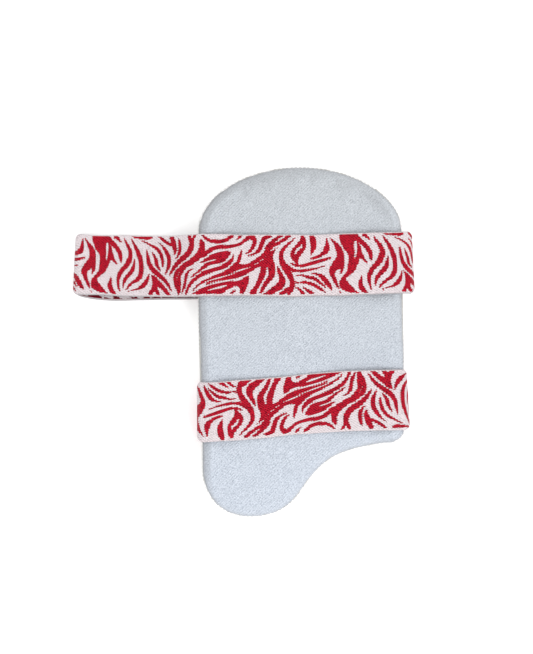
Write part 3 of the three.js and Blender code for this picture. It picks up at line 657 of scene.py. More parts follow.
blots = [
    {"outline": [(17.5, 1.5), (19, .3), (33, .3), (34.5, 2), (37, 5), (40, 8), (43, 11.5), (45.5, 15),
                 (47, 19), (47.2, 23), (46.5, 26.5), (45.5, 26.5), (44, 22), (42.5, 18), (40, 14),
                 (37, 11.2), (34.8, 9.5), (36.5, 13), (37.5, 18), (39, 22), (40.5, 25.5), (42.8, 29),
                 (41.5, 29), (39, 26.5), (36.5, 24.8), (35.3, 24), (34.8, 27), (33, 31), (31.5, 34),
                 (31.2, 35.5), (28, 38.5), (24, 41.5), (22, 44), (24, 47.5), (27, 51), (30, 54.5),
                 (31.5, 56.5), (33.5, 57), (32.5, 58.3), (31, 57.5), (28, 57.3), (24, 56.5), (20, 54.5),
                 (17, 52.5), (16.3, 49), (16.5, 46), (18, 43), (20.5, 40), (23, 37), (24, 35), (24.3, 31),
                 (25, 27), (25, 22), (24, 18.5), (21.5, 15.5), (19.8, 12), (18, 7), (17.3, 4)],
     "hole": [(31, 7.5), (32.7, 7.5), (33.5, 12), (33.3, 17), (32.5, 21), (31.8, 24.5), (30.5, 24.5),
              (30.8, 18), (30.3, 12)]},
    {"outline": [(75.7, 38), (77.7, 39), (80.2, 40), (82.2, 41.5), (84.6, 44), (87, 46), (89.4, 48.5),
                 (91.7, 51), (94.1, 54), (95.9, 57), (97.3, 58.3), (94.5, 58.5), (92.6, 57.5), (90.3, 55),
                 (87.6, 52.3), (86, 51), (84.6, 50.5), (83.7, 51), (84.3, 53.5), (85.7, 56), (86.2, 58.3),
                 (83.9, 58.5), (81.9, 56.5), (80.4, 54.7), (79.4, 54.8), (78.5, 57.5), (77, 58.7),
                 (73.5, 58.3), (73.9, 56.5), (75.9, 53.5), (77.3, 51), (78.1, 47), (77.7, 43.5),
                 (77, 41)]},
    {"outline": [(125.3, 27.6), (130, 24.5), (134, 21.7), (138, 19.6), (143, 17.8), (148, 17),
                 (153, 16.7), (155.3, 17), (155, 19.3), (153, 22.3), (150.5, 25.3), (148.5, 27),
                 (144.5, 28.5), (139.5, 29.3), (136.5, 29.7), (133, 31.3), (129.5, 33.3), (126, 35.7),
                 (122.3, 38), (119.2, 40.3), (116.6, 41.7), (117.7, 39.8), (121.3, 37), (124.5, 34.3),
                 (127, 31.7), (130, 29.3), (133.5, 27.3), (137, 26.4), (141, 25.2), (140, 24.4),
                 (136, 25), (132, 26.3), (128, 28)]},
    {"outline": [(203, 13), (200, 15.3), (198.7, 18), (198, 21.5), (198.3, 25), (199.5, 28.5), (200, 32),
                 (200.2, 36), (199.3, 40), (197.5, 43.3), (194.5, 46), (192, 49), (190, 52.3), (188, 55),
                 (186.3, 57), (184.8, 56.5), (185.5, 54), (187.3, 50), (189.3, 46), (191.8, 42.5),
                 (193.3, 40), (193.6, 37), (193, 33.5), (192.2, 31), (191.5, 31), (191, 34), (190.8, 38),
                 (189, 42), (186.8, 46), (184.5, 50), (182.5, 53), (181.8, 55.5), (181, 57.3),
                 (178, 57.8), (174.8, 57.5), (175.2, 55.3), (177.5, 53), (179.5, 50.3), (181.3, 47),
                 (183, 42.5), (184.5, 38.5), (185.4, 34), (185.2, 30.5), (184, 30), (182, 31),
                 (184, 28.5), (187, 25.5), (190, 22), (193, 19), (196, 16.5), (199.5, 14.3)]},
    {"outline": [(117.6, 57.3), (120.3, 55.5), (124.7, 53.5), (130, 51.3), (135, 49.3), (139, 48.3),
                 (143, 47.5), (147, 46.8), (152, 46.2), (157, 45.5), (162, 45.3), (165, 44.3), (168, 43),
                 (170, 41.5), (172, 40.5), (173.5, 40.2), (173.8, 42.5), (173.5, 46), (172.3, 50),
                 (170.5, 54), (168.5, 57.3), (166, 57.5), (164.7, 56.5), (165.3, 54.5), (164.5, 52),
                 (162.5, 50), (160, 50), (157, 51.3), (154, 52.8), (151, 54.5), (149, 56.3), (146, 57.5),
                 (142, 57.3), (138, 57.5), (133, 57.3), (128, 57.7), (123, 57.8)],
     "hole": [(132.5, 54), (140, 51.3), (145, 49.8), (149, 49), (152.3, 49.2), (150, 51), (147, 52.5),
              (143, 53.2), (138, 53.8), (134, 54.5)]},
    {"outline": [(226.5, .7), (229, 1.3), (230.5, 4), (231.3, 8), (231, 12), (229.5, 15), (227.5, 18),
                 (225, 21), (223.5, 24), (222.8, 27), (223.3, 29.3), (222, 28.5), (220, 27),
                 (217.5, 24.5), (215.8, 21.5), (215.8, 17.5), (217.5, 14), (220.5, 11), (223, 8),
                 (225.5, 5), (226.3, 2)],
     "hole": [(226.5, 9.5), (227.3, 10), (227.3, 13.5), (225.5, 14), (222.5, 16.5), (220.5, 19.5),
              (219.8, 19.5), (219.5, 17), (221.5, 14), (224.5, 11.5)]},
]


# Distance in cells to a stroke's edge, negative inside it: the least distance to its spine's short
# pieces, less the half width at the nearest place.
def strokeDistance(along, across, stroke):
    hops = len(stroke) - 1
    spine = throughPoints(stroke, np.linspace(0, hops, chart["strokePieces"] * hops + 1))
    least = np.full(len(along), np.inf)
    for start, end in zip(spine[:-1], spine[1:]):
        share, gap = toStraight(along, across, start, end)
        least = np.minimum(least, gap - blend(start[2], end[2], share))
    return least


# Distance in cells to a closed line, negative inside it, where a ray crosses the line an odd number of times.
def blotDistance(along, across, outline):
    hops = len(outline)
    ring = throughPoints(outline + outline[:1], np.linspace(0, hops, chart["blotPieces"] * hops + 1))
    least = np.full(len(along), np.inf)
    inside = np.zeros(len(along), dtype=bool)
    for start, end in zip(ring[:-1], ring[1:]):
        least = np.minimum(least, toStraight(along, across, start, end)[1])
        rise = end[1] - start[1]
        reach = start[0] + (across - start[1]) * (end[0] - start[0]) / (rise if abs(rise) > 1e-9 else 1e-9)
        inside ^= ((start[1] > across) != (end[1] > across)) & (along < reach)
    return np.where(inside, -least, least)


def figureDistance(along, across):  # negative where the woven figure is red
    least = np.full(len(along), float(chart["far"]))
    for shape in strokes + blots:
        isBlot = isinstance(shape, dict)
        drawn = np.array(shape["outline"] if isBlot else shape)
        low = drawn[:, :2].min(axis=0) - chart["reach"]
        high = drawn[:, :2].max(axis=0) + chart["reach"]
        turned = (along - low[0]) % chart["repeat"] + low[0]
        near = np.flatnonzero((turned < high[0]) & (across > low[1]) & (across < high[1]))
        place = (turned[near], across[near])
        found = blotDistance(*place, shape["outline"]) if isBlot else strokeDistance(*place, shape)
        if isBlot and "hole" in shape:
            found = np.maximum(found, -blotDistance(*place, shape["hole"]))
        least[near] = np.minimum(least[near], found)
    return least


# Where the figure lies on each strap: photo columns across the front run, and the chart's cell there.
cameraPlace = {"x": 24.5, "y": 14.55, "z": 1017, "pixel": 0.97, "plane": 17, "column": 266.5}
waistFigure = {
    "columns": [71.5, 75, 320, 330, 346, 365, 374.5, 387.5, 397.5, 402, 411, 415],
    "cells": [-6, 0, 245, 254.1, 268.5, 286.3, 294.9, 305.1, 315.2, 320.3, 332.9, 342],
    "cellsAcross": 60, "firstCell": 0,
}
thighFigure = {
    "columns": [195.5, 198, 202, 207, 217, 230, 242, 262, 278, 292, 302, 334, 342, 349, 360, 370, 380, 392,
                402.5, 405, 408, 410],
    "cells": [267, 261.5, 257.3, 251.5, 241, 227.5, 216, 196, 181, 167, 158, 126.3, 120, 113.5, 105, 97, 88.4,
              77.2, 66.5, 62.5, 55.5, 47],
    "cellsAcross": 59.3, "firstCell": -1.8,
}


def photoColumn(x, z):  # the photo's column of a place on the guard, in its 533 by 654 frame
    away = cameraPlace["z"] - z
    level = cameraPlace["z"] - cameraPlace["plane"]
    return cameraPlace["column"] + (x + padPlace[0] - cameraPlace["x"]) / cameraPlace["pixel"] * level / away


bandLook = {"shownStep": 0.82, "hiddenStep": 1.7, "acrossStep": 0.84, "edgeRound": 0.9, "dense": 40}


# A flat band between two edge curves, closed all round: a row of points across its printed face, then
# one back across its inner face. The middle never sinks below half the thickness. Rows stand closer, by
# the first of the two steps, where the printed face looks up or is beside the towelling.
def bandSurface(rows, width, thickness, printedSide, steps):
    edges = [[(row["x"] - side * row["lean"], row["y"] + side * width / 2, row["z"]) for row in rows]
             for side in (1, -1)]
    dense = np.linspace(0, len(rows) - 1, bandLook["dense"] * (len(rows) - 1) + 1)
    middle = (throughPoints(edges[0], dense) + throughPoints(edges[1], dense)) / 2
    middle[:, 2] = np.maximum(middle[:, 2], thickness / 2)
    hops = hopLengths(middle)
    shown = (-np.diff(middle[:, 0]) * printedSide > 0) | (middle[1:, 2] > cushionFloor)
    counts = np.concatenate([[0], np.cumsum(hops / np.where(shown, steps[0], steps[1]))])
    places = np.interp(np.linspace(0, counts[-1], round(counts[-1]) + 1), counts, dense)
    waistEdge, kneeEdge = (throughPoints(edge, places) for edge in edges)
    middle = (waistEdge + kneeEdge) / 2
    middle[:, 2] = np.maximum(middle[:, 2], thickness / 2)
    halfAcross = (waistEdge - kneeEdge) / 2 * printedSide
    along = np.gradient(middle, axis=0)
    out = unitRows(np.cross(halfAcross, along * [1, 0, 1])) * (thickness / 2)

    rounding = bandLook["edgeRound"] / (width / 2)
    inner = np.linspace(-1 + rounding, 1 - rounding, round(width / bandLook["acrossStep"]))
    corner = rounding * np.array([0, 0.12, 0.45])
    across = np.concatenate([corner - 1, inner, 1 - corner[::-1]])
    bulge = np.sqrt(np.maximum(0, 1 - (np.maximum(0, np.abs(across) - 1 + rounding) / rounding) ** 2))
    section = np.concatenate([across, across[-2:0:-1]])
    height = np.concatenate([bulge, -bulge[-2:0:-1]])
    side = np.concatenate([np.ones(len(across)), np.zeros(len(across) - 2)])
    points = (middle[:, None] + halfAcross[:, None] * section[None, :, None]
              + out[:, None] * height[None, :, None])
    count = len(section)
    faces = gridFaces(len(points), count)
    top = len(across)
    near = np.arange(1, top - 2)
    quads = np.stack([near, near + 1, count - near - 1, count - near], axis=1)
    cap = [[0, 1, count - 1], *quads.tolist(), [top - 2, top - 1, top]]
    lastRow = (len(points) - 1) * count
    faces = faces.tolist() + cap + [[lastRow + i for i in face[::-1]] for face in cap]
    return {"points": points.reshape(-1, 3), "faces": faces, "middle": middle, "along": along,
            "halfAcross": halfAcross, "section": section, "height": height, "side": side, "out": out}


def eachPoint(band, rowValues):  # a value for each row, given to each of its points
    return np.repeat(rowValues, len(band["section"]), axis=0)


def eachRow(band, sectionValues):  # a value for each place across, given to each row
    return np.tile(sectionValues, len(band["middle"]))


# Each point's place on the chart. The cell along follows the photo's columns on the front run and the
# strap's own length behind it, and a row that stands askew is followed across.
def chartPlaces(band, figure):
    middle = band["middle"]
    travelled = distanceAlong(middle)
    column = photoColumn(middle[:, 0], middle[:, 2])
    first, last = sorted((int(np.argmin(column)), int(np.argmax(column))))
    cells = np.interp(column, figure["columns"], figure["cells"])
    rate = 1 / cameraPlace["pixel"]
    before = cells[first] + (travelled[first] - travelled) * rate
    after = cells[last] - (travelled - travelled[last]) * rate
    order = np.arange(len(middle))
    cells = np.where(order < first, before, np.where(order > last, after, cells))
    skew = np.sum(band["halfAcross"] * unitRows(band["along"]), axis=1)
    cell = cells[:, None] - rate * skew[:, None] * band["section"][None]
    across = figure["cellsAcross"] / 2 * (1 - band["section"]) + figure["firstCell"]
    return cell, eachRow(band, across)


strapLook = {
    "waveHeight": 0.16, "wavePitch": 17, "edgeWave": 0.35, "edgePitch": 24, "freeFrom": 2, "freeFade": 6,
    "edgeCurl": 0.4, "curlFrom": 0.84, "cornerPull": 3.2, "cornerFrom": 0.8, "cornerReach": 4,
    "strokeSwell": 0.28, "paintedFoldReach": 5, "selvage": 1.0, "lowSelvage": 58.2,
}


# A strap of woven elastic: the band, a little uneven in its height and along its selvages, with its edges
# curled in and its corners pulled in at the folds.
def makeStrap(name, node, rows, settings, figure, printedSide):
    look = strapLook
    halfBand = settings["width"] / 2
    band = bandSurface(rows, settings["width"], elastic["thickness"], printedSide,
                       (bandLook["shownStep"], bandLook["hiddenStep"]))
    flat = band["points"]
    cell, across = chartPlaces(band, figure)
    travel = eachPoint(band, cell[:, 0])
    cell = cell.ravel()
    place = np.column_stack([travel, flat[:, 1], travel * 0])
    wave = look["waveHeight"] * np.maximum(latticeNoise(place, look["wavePitch"], 23), 0)
    stray = look["edgeWave"] * latticeNoise(place[:, [0, 2, 2]], look["edgePitch"], 29)
    free = smoothStep((flat[:, 2] - shellFloor - look["freeFrom"]) / look["freeFade"])
    section = eachRow(band, band["section"])
    fromMiddle = np.abs(section)
    curl = np.maximum(0, (fromMiddle - look["curlFrom"]) / (1 - look["curlFrom"])) ** 2
    corner = np.maximum(0, (fromMiddle - look["cornerFrom"]) / (1 - look["cornerFrom"])) ** 3
    outward = eachPoint(band, band["out"] / halfStrap)
    sideways = eachPoint(band, band["halfAcross"] / halfBand)
    flat = flat + outward * ((wave - look["edgeCurl"] * curl) * free)[:, None]
    flat += sideways * (stray * section ** 3)[:, None]
    middleX = eachPoint(band, band["middle"][:, 0])
    # painted shade near each fold's end, from 1 at the end to 0 a few millimetres in
    paintedFoldShade = np.zeros(len(flat))
    for side in (-1, 1):
        beyond = np.max(side * middleX) - side * middleX
        flat[:, 0] -= side * look["cornerPull"] * corner * smoothStep(1 - beyond / look["cornerReach"])
        paintedFoldShade = np.maximum(paintedFoldShade, smoothStep(1 - beyond / look["paintedFoldReach"]))
    flat[:, 2] = np.maximum(flat[:, 2], 0)
    piece = makePiece(name, flat, band["faces"])
    fromEdge = (1 - fromMiddle) * halfBand
    setAttribute(piece, "figure", figureDistance(cell, across) - look["strokeSwell"])
    setAttribute(piece, "fold", paintedFoldShade)
    setAttribute(piece, "selvage", np.minimum(fromEdge - look["selvage"], look["lowSelvage"] - across))
    setAttribute(piece, "weave", np.column_stack([cell, across, eachRow(band, band["side"])]), "FLOAT_VECTOR")
    length = float(np.sum(hopLengths(band["middle"]))) * 0.001
    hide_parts(node)
    print(name, "is", round(length, 4), "m long")
    return piece, band, length


patchLook = {"step": 1.0, "napPitch": 1.6, "napHeight": 0.12}


def makePatch(name, node, flank, y):  # a hook-and-loop patch on the shell's underside
    look = patchLook
    halfThickness = elastic["patchThickness"] / 2
    rows = rowsUnderShell(flank * elastic["hookEnd"], flank * (elastic["hookEnd"] + elastic["patchLength"]),
                          elastic["seatGap"] + halfThickness, y)
    band = bandSurface(rows, elastic["patchWidth"], elastic["patchThickness"], -flank,
                       (look["step"], look["step"]))
    nap = look["napHeight"] * latticeNoise(band["points"], look["napPitch"], 31)
    outward = eachPoint(band, band["out"] / halfThickness) * eachRow(band, band["height"])[:, None]
    piece = makePiece(name, band["points"] + outward * nap[:, None], band["faces"])
    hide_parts(node)
    return piece


# Materials

fullTurn = 6.283  # radians from one wave to the next, for sines


class Value:  # a shader value in an expression: each operator adds its Math node
    def __init__(self, tree, socket):
        self.tree = tree
        self.socket = socket

    def combined(self, operation, first, second=None):
        node = self.tree.nodes.new("ShaderNodeMath")
        node.operation = operation
        for place, part in enumerate((first, second)):
            if isinstance(part, Value):
                self.tree.links.new(part.socket, node.inputs[place])
            elif part is not None:
                node.inputs[place].default_value = part
        return Value(self.tree, node.outputs[0])

    def __add__(self, other):
        return self.combined("ADD", self, other)

    def __radd__(self, other):
        return self.combined("ADD", other, self)

    def __sub__(self, other):
        return self.combined("SUBTRACT", self, other)

    def __rsub__(self, other):
        return self.combined("SUBTRACT", other, self)

    def __mul__(self, other):
        return self.combined("MULTIPLY", self, other)

    def __rmul__(self, other):
        return self.combined("MULTIPLY", other, self)

    def __truediv__(self, other):
        return self.combined("DIVIDE", self, other)

    def __rtruediv__(self, other):
        return self.combined("DIVIDE", other, self)

    def sine(self):
        return self.combined("SINE", self)

    def held(self):  # kept from 0 to 1
        return self.combined("MINIMUM", self.combined("MAXIMUM", self, 0.0), 1.0)


class Finish:  # a material with its shader, and one method, node, that adds any other node
    def __init__(self, name, **fixed):
        self.material = bpy.data.materials.new(name)
        self.material.use_nodes = True
        self.tree = self.material.node_tree
        self.shader = self.tree.nodes["Principled BSDF"]
        for socket, amount in fixed.items():
            self.shader.inputs[socket.replace("_", " ")].default_value = amount

    def node(self, kind, settings=None, sockets=None, output=0):
        made = self.tree.nodes.new(kind)
        for key, setting in (settings or {}).items():
            setattr(made, key, setting)
        for key, value in (sockets or {}).items():
            if isinstance(value, Value):
                self.tree.links.new(value.socket, made.inputs[key])
            else:
                made.inputs[key].default_value = value
        return Value(self.tree, made.outputs[output])

    def mixed(self, share, first, second):  # two colours mixed by a share
        first = first if isinstance(first, Value) else (*first, 1)
        second = second if isinstance(second, Value) else (*second, 1)
        return self.node("ShaderNodeMix", {"data_type": "RGBA"}, {0: share, 6: first, 7: second}, 2)

    def place(self):
        return self.node("ShaderNodeTexCoord", output="Object")

    def attribute(self, name, output="Fac"):
        return self.node("ShaderNodeAttribute", {"attribute_name": name}, output=output)

    def parts(self, vector):  # a vector's three numbers
        return [self.node("ShaderNodeSeparateXYZ", None, {0: vector}, i) for i in range(3)]

    def noise(self, scale, detail=2.0, vector=None):
        return self.node("ShaderNodeTexNoise", None,
                         {"Vector": vector or self.place(), "Scale": scale, "Detail": detail})

    def feed(self, socket, value):
        self.tree.links.new(value.socket, self.shader.inputs[socket])

    def bump(self, height, distance, strength=1.0):
        self.feed("Normal", self.node("ShaderNodeBump", None, {
            "Height": height, "Distance": distance, "Strength": strength}))


def towellingFinish():  # short cotton loops, uneven in height and tone, greyer and warmer towards the top, with painted shade on steep edges and on sides facing away from the key light
    look = {"dark": (0.42, 0.465, 0.54), "light": (0.76, 0.815, 0.905), "side": (0.27, 0.275, 0.29),
            "tone": (0.45, 0.43, 0.36), "topToneFrom": 0.14, "topToneRate": 1.1, "paintedEdgeShadeShare": 0.85,
            "loops": 760, "loopSoftness": 0.35, "tufts": 850, "broad": 38,
            "ribPitch": 0.0023, "ribStray": 5.0,
            "bump": {"loops": 0.75, "tufts": 0.9, "ribs": 0.12},
            "shade": {"loops": 0.5, "tufts": 2.0, "ribs": 0.08, "broad": 0.2, "middle": 0.26}}
    bump, tint = look["bump"], look["shade"]
    finish = Finish("towelling", Roughness=1.0, Sheen_Weight=0.25, Sheen_Roughness=0.5,
                    Specular_IOR_Level=0.15)
    place = finish.place()
    x, y = finish.parts(place)[:2]
    loops = 1 - finish.node("ShaderNodeTexVoronoi", {"feature": "SMOOTH_F1"},
                            {"Vector": place, "Scale": look["loops"], "Smoothness": look["loopSoftness"]})
    tufts = finish.noise(look["tufts"], 3.0, place)
    broad = finish.noise(look["broad"], 2.0, place)
    aslant = 4.443 / look["ribPitch"]  # a full turn over the root of 2, because the ribs lie at 45 degrees
    ribs = ((x - y) * aslant + tufts * look["ribStray"]).sine()
    height = loops * bump["loops"] + tufts * bump["tufts"] + ribs * bump["ribs"]
    shade = (loops * tint["loops"] + (tufts - 0.5) * tint["tufts"] + ribs * tint["ribs"]
             + (broad - 0.5) * tint["broad"] + tint["middle"]).held()
    loopColour = finish.mixed(shade, look["dark"], look["light"])
    # greyer and warmer towards the top
    toneTowardsTop = finish.mixed((y * look["topToneRate"] + look["topToneFrom"]).held(), loopColour, look["tone"])
    # painted shade: steep sides and sides facing away from the key light are mixed towards a dark grey
    paintedEdgeShade = (finish.attribute("paintedEdgeShade") * look["paintedEdgeShadeShare"]).held()
    finish.feed("Base Color", finish.mixed(paintedEdgeShade, toneTowardsTop, look["side"]))
    finish.bump(height, 0.001, 0.9)
    return finish.material


def elasticFinish():  # woven elastic: a red figure on white, with small woven teeth where the colours meet, and painted shade on its inner face, along its selvage edges and near its folds
    look = {"red": (0.57, 0.012, 0.031), "deepRed": (0.06, 0.001, 0.006), "white": (0.81, 0.72, 0.745),
            "greyWhite": (0.48, 0.43, 0.445), "rim": (0.40, 0.38, 0.39), "fold": (0.22, 0.19, 0.2),
            "alongTooth": 2.6, "acrossTooth": 2.3, "pickLean": 0.11, "ribDepth": 0.33, "toothDepth": 0.24,
            "sharpness": 4.0, "paintedRimFrom": 0.85, "paintedRimShare": 0.8, "paintedFoldShare": 0.15, "paintedInnerShade": 0.2,
            "speckle": 1050, "broad": 60,
            "shade": {"twill": 0.75, "ribs": 0.1, "speckle": 3.2, "broad": 0.1, "middle": 0.26},
            "bump": {"figure": 0.5, "twill": 0.5, "ribs": 0.2}}
    bump, tint = look["bump"], look["shade"]
    finish = Finish("zebra elastic", Roughness=0.9, Specular_IOR_Level=0.08)
    figure = finish.attribute("figure")
    selvage = finish.attribute("selvage")
    along, across, side = finish.parts(finish.attribute("weave", "Vector"))  # side is 1 on the printed face
    ribs = ((across / look["acrossTooth"] + along * look["pickLean"]) * fullTurn).sine()
    teeth = ribs * look["ribDepth"] + (along * (fullTurn / look["alongTooth"])).sine() * look["toothDepth"]
    red = (0.5 - (figure + teeth) * look["sharpness"]).held()
    inward = (selvage * 2.0 + 0.5 + (1 - side) * 0.4).held()
    mask = (red * side + (1 - red) * (1 - side)) * inward  # the inner face swaps the two colours
    twill = ((along * 0.8 - across) * 2.5).sine() * 0.5 + 0.5
    speckle = finish.noise(look["speckle"], 1.0)
    broad = finish.noise(look["broad"], 2.0)
    tone = (twill * tint["twill"] + ribs * tint["ribs"] + (speckle - 0.5) * tint["speckle"]
            + (broad - 0.5) * tint["broad"] + tint["middle"]).held()
    # painted shade: the inner face, seen only in the shadow under a fold, is darkened
    shade = tone * (side * (1 - look["paintedInnerShade"]) + look["paintedInnerShade"])
    reds = finish.mixed(shade, look["deepRed"], look["red"])
    whites = finish.mixed(shade, look["greyWhite"], look["white"])
    figured = finish.mixed(mask, whites, reds)
    # painted shade: a thin grey line along the very edges of the strap
    rim = (1 - (selvage + look["paintedRimFrom"]) * look["sharpness"]).held() * look["paintedRimShare"]
    withRimShade = finish.mixed(rim, figured, look["rim"])
    # painted shade: the ends of the folds are mixed towards a dark grey
    fold = (finish.attribute("fold") * look["paintedFoldShare"]).held()
    finish.feed("Base Color", finish.mixed(fold, withRimShade, look["fold"]))
    finish.bump(mask * bump["figure"] + twill * bump["twill"] + ribs * bump["ribs"], 0.0005, 0.8)
    return finish.material


def shellFinish():  # plain off-white woven cloth
    look = {"thread": (0.60, 0.595, 0.57), "face": (0.78, 0.775, 0.75), "threadTurn": 3120, "lean": 0.6,
            "dust": 45, "clothShade": 0.45, "dustShade": 0.6}
    finish = Finish("shell cloth", Roughness=0.8, Sheen_Weight=0.15, Specular_IOR_Level=0.3)
    x, y, z = finish.parts(finish.place())
    warp = ((x + z * look["lean"]) * look["threadTurn"]).sine()
    weft = ((y + z * look["lean"]) * look["threadTurn"]).sine()
    cloth = warp * weft * 0.5 + 0.5
    shade = (cloth * look["clothShade"] + finish.noise(look["dust"], 3.0) * look["dustShade"]).held()
    finish.feed("Base Color", finish.mixed(shade, look["thread"], look["face"]))
    finish.bump(cloth, 0.0003, 0.6)
    return finish.material


def hookFinish():  # hook-and-loop tape: a short tangled nap
    look = {"dark": (0.52, 0.515, 0.5), "light": (0.80, 0.795, 0.77), "nap": 1100.0, "tangle": 700}
    finish = Finish("hook and loop", Roughness=0.95, Sheen_Weight=0.3, Specular_IOR_Level=0.2)
    place = finish.place()
    nap = finish.node("ShaderNodeTexVoronoi", None, {"Vector": place, "Scale": look["nap"]})
    tangle = finish.noise(look["tangle"], 4.0, place)
    finish.feed("Base Color", finish.mixed((tangle * 1.2 - nap * 0.3).held(), look["dark"], look["light"]))
    finish.bump(tangle + nap * 0.6, 0.0007, 0.8)
    return finish.material


def threadFinish():  # twisted sewing thread
    look = {"dark": (0.62, 0.61, 0.59), "light": (0.84, 0.83, 0.80), "twist": 1600}
    finish = Finish("sewing thread", Roughness=0.65, Specular_IOR_Level=0.35)
    twist = finish.noise(look["twist"], 2.0)
    finish.feed("Base Color", finish.mixed(twist, look["dark"], look["light"]))
    finish.bump(twist, 0.0002, 0.5)
    return finish.material


def give(piece, material):  # every piece rides on the part's one body
    piece.data.materials.clear()
    piece.data.materials.append(material)
    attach(piece, "root")


# Stitches

stitchLook = {
    "radius": 0.27, "sides": 6, "length": 3.0, "gap": 1.1, "proud": 0.12,
    "stations": [(0.0, 0.25), (0.12, 0.8), (0.5, 1.0), (0.88, 0.8), (1.0, 0.25)],
    "seamSpacing": 1.2, "seamDrop": 0.75, "seamSink": 0.05,
    "boxRows": (1, 18), "boxReach": 0.88, "boxPoints": 24,
}


# Each stitch is a short round bar between two holes: a ring of points at each station along it, whose
# radius swells towards the middle.
def stitchMesh(starts, ends, ups):
    sides = stitchLook["sides"]
    stations = np.array(stitchLook["stations"])
    turn = np.linspace(0, 2 * np.pi, sides, endpoint=False)
    run = ends - starts
    unit = unitRows(run)
    sideways = unitRows(np.cross(ups, unit))
    upward = np.cross(unit, sideways)
    centre = starts[:, None] + run[:, None] * stations[None, :, :1]
    centre = centre + upward[:, None] * (stitchLook["proud"] * np.sin(np.pi * stations[None, :, :1]))
    radius = stitchLook["radius"] * stations[:, 1]
    ring = (sideways[:, None, None] * np.cos(turn)[None, None, :, None]
            + upward[:, None, None] * np.sin(turn)[None, None, :, None]) * radius[None, :, None, None]
    points = (centre[:, :, None] + ring).reshape(-1, 3)
    each = len(stations) * sides
    shift = np.arange(len(starts))[:, None] * each
    sideFaces = (gridFaces(len(stations), sides)[None] + shift[:, :, None]).reshape(-1, 4)
    first = np.arange(sides)[::-1] + shift
    last = np.arange(each - sides, each) + shift
    return points, sideFaces.tolist() + first.tolist() + last.tolist()


def stitchesAlong(path, ups):  # the starts, ends and upward directions of stitches along a line of points
    travelled = distanceAlong(path)
    pitch = stitchLook["length"] + stitchLook["gap"]
    count = max(1, int(travelled[-1] // pitch))
    start = (np.arange(count) + 0.5 * stitchLook["gap"] / pitch) * travelled[-1] / count
    end = start + stitchLook["length"] / pitch * travelled[-1] / count
    return readOff(start, travelled, path), readOff(end, travelled, path), readOff(start, travelled, ups)


def makeStitches(name, runs):
    parts = [stitchesAlong(path, ups) for path, ups in runs]
    starts, ends, ups = (np.concatenate([part[i] for part in parts]) for i in range(3))
    piece = makePiece(name, *stitchMesh(starts, ends, ups))
    return piece


def seamRun():  # round the shell's upright lip, just under the seam
    outline = padOutline(stitchLook["seamSpacing"])
    normals = outwardNormals(outline)
    height = shellFloor + pad["shellThickness"] - stitchLook["seamDrop"] + dishLift(outline[:, 0])
    path = np.column_stack([outline - normals * stitchLook["seamSink"], height])
    ups = np.column_stack([normals, np.zeros(len(normals))])
    return np.concatenate([path, path[:1]]), np.concatenate([ups, ups[:1]])


# A box with a cross in it, sewn through a band's printed face at its first end: four sides and two
# diagonals between two rows of the band, reaching the same share of half its width to both sides.
def boxRuns(band):
    rows = np.arange(len(band["middle"]))
    first, last = stitchLook["boxRows"]
    share = np.linspace(0, 1, stitchLook["boxPoints"])
    along = blend(first, last, share)
    sweep = blend(-stitchLook["boxReach"], stitchLook["boxReach"], share)
    same = np.ones(len(share))

    def on(places, across):
        middle, halfAcross, out = [readOff(places, rows, band[part])
                                   for part in ("middle", "halfAcross", "out")]
        return middle + halfAcross * across[:, None] + out, out

    return [on(along, same * stitchLook["boxReach"]), on(along, -same * stitchLook["boxReach"]),
            on(same * first, sweep), on(same * last, sweep), on(along, sweep), on(along, -sweep)]


# The scene

floorLook = {"reach": 3.0, "drop": 0.0003, "colour": (0.9, 0.9, 0.9, 1), "glow": 0.26}
lights = {
    "world": 1.06, "power": 11, "size": 0.7, "place": (0.95, -1.15, 1.75), "colour": (1.0, 0.995, 0.985),
}


def makeFloor():  # one wide square with a faint glow, just under the guard
    reach = floorLook["reach"]
    mesh = bpy.data.meshes.new("floor")
    corners = [(x * reach, y * reach, -floorLook["drop"]) for x, y in ((-1, -1), (1, -1), (1, 1), (-1, 1))]
    mesh.from_pydata(corners, [], [(0, 1, 2, 3)])
    floor = bpy.data.objects.new("floor", mesh)
    bpy.context.scene.collection.objects.link(floor)
    finish = Finish("floor", Base_Color=floorLook["colour"], Roughness=0.9, Specular_IOR_Level=0.1,
                    Emission_Color=(1, 1, 1, 1), Emission_Strength=floorLook["glow"])
    mesh.materials.append(finish.material)


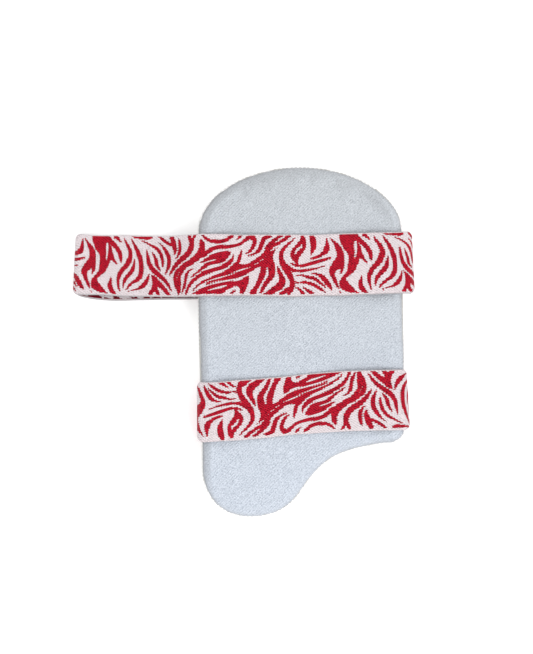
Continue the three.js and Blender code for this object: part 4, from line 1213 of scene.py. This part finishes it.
def makeLights():  # an even white world, and one soft disc of light that faces the guard
    world = bpy.data.worlds.new("studio")
    bpy.context.scene.world = world
    world.use_nodes = True
    background = world.node_tree.nodes["Background"]
    background.inputs["Color"].default_value = (1, 1, 1, 1)
    background.inputs["Strength"].default_value = lights["world"]
    data = bpy.data.lights.new("key", "AREA")
    data.shape = "DISK"
    data.size = lights["size"]
    data.energy = lights["power"]
    data.color = lights["colour"]
    lamp = bpy.data.objects.new("key", data)
    lamp.location = lights["place"]
    x, y, z = lights["place"]
    lamp.rotation_euler = (np.arctan2(np.hypot(x, y), z), 0, np.arctan2(x, -y))
    bpy.context.scene.collection.objects.link(lamp)


def makeCamera():  # straight above the guard, as in the photo
    imageHeight = 654  # pixels
    sensor = 36
    data = bpy.data.cameras.new("camera")
    data.sensor_fit = "VERTICAL"
    data.sensor_height = sensor
    data.lens = sensor * (cameraPlace["z"] - cameraPlace["plane"]) / (imageHeight * cameraPlace["pixel"])
    camera = bpy.data.objects.new("camera", data)
    camera.location = [cameraPlace[axis] * 0.001 for axis in "xyz"]
    bpy.context.scene.collection.objects.link(camera)
    bpy.context.scene.camera = camera


bpy.context.scene.view_settings.view_transform = "Standard"
makeFloor()
makeLights()
makeCamera()
print("floor, lights and camera made")

give(makeCushion(), towellingFinish())
print("towelling made")
give(makeShell(), shellFinish())
print("shell made")

zebra = elasticFinish()
straps = (("waist_elastic", "waist_strap", waistRows(), waist, waistFigure, 1),
          ("thigh_elastic", "thigh_strap", thighRows(), thigh, thighFigure, -1))
sewnEnds = []
for name, node, rows, settings, figure, printedSide in straps:
    strap, band, length = makeStrap(name, node, rows, settings, figure, printedSide)
    give(strap, zebra)
    settings["width"] * 0.001
    sewnEnds += boxRuns(band)
print("straps made")

tape = hookFinish()
give(makePatch("waist_loop_tape", "waist_strap_patch", -1, wander(waist["hookStray"])), tape)
give(makePatch("thigh_loop_tape", "thigh_strap_patch", 1, thigh["height"]), tape)
print("patches made")

thread = threadFinish()
give(makeStitches("seam_stitching", [seamRun()]), thread)
give(makeStitches("strap_stitching", sewnEnds), thread)
print("stitches made")
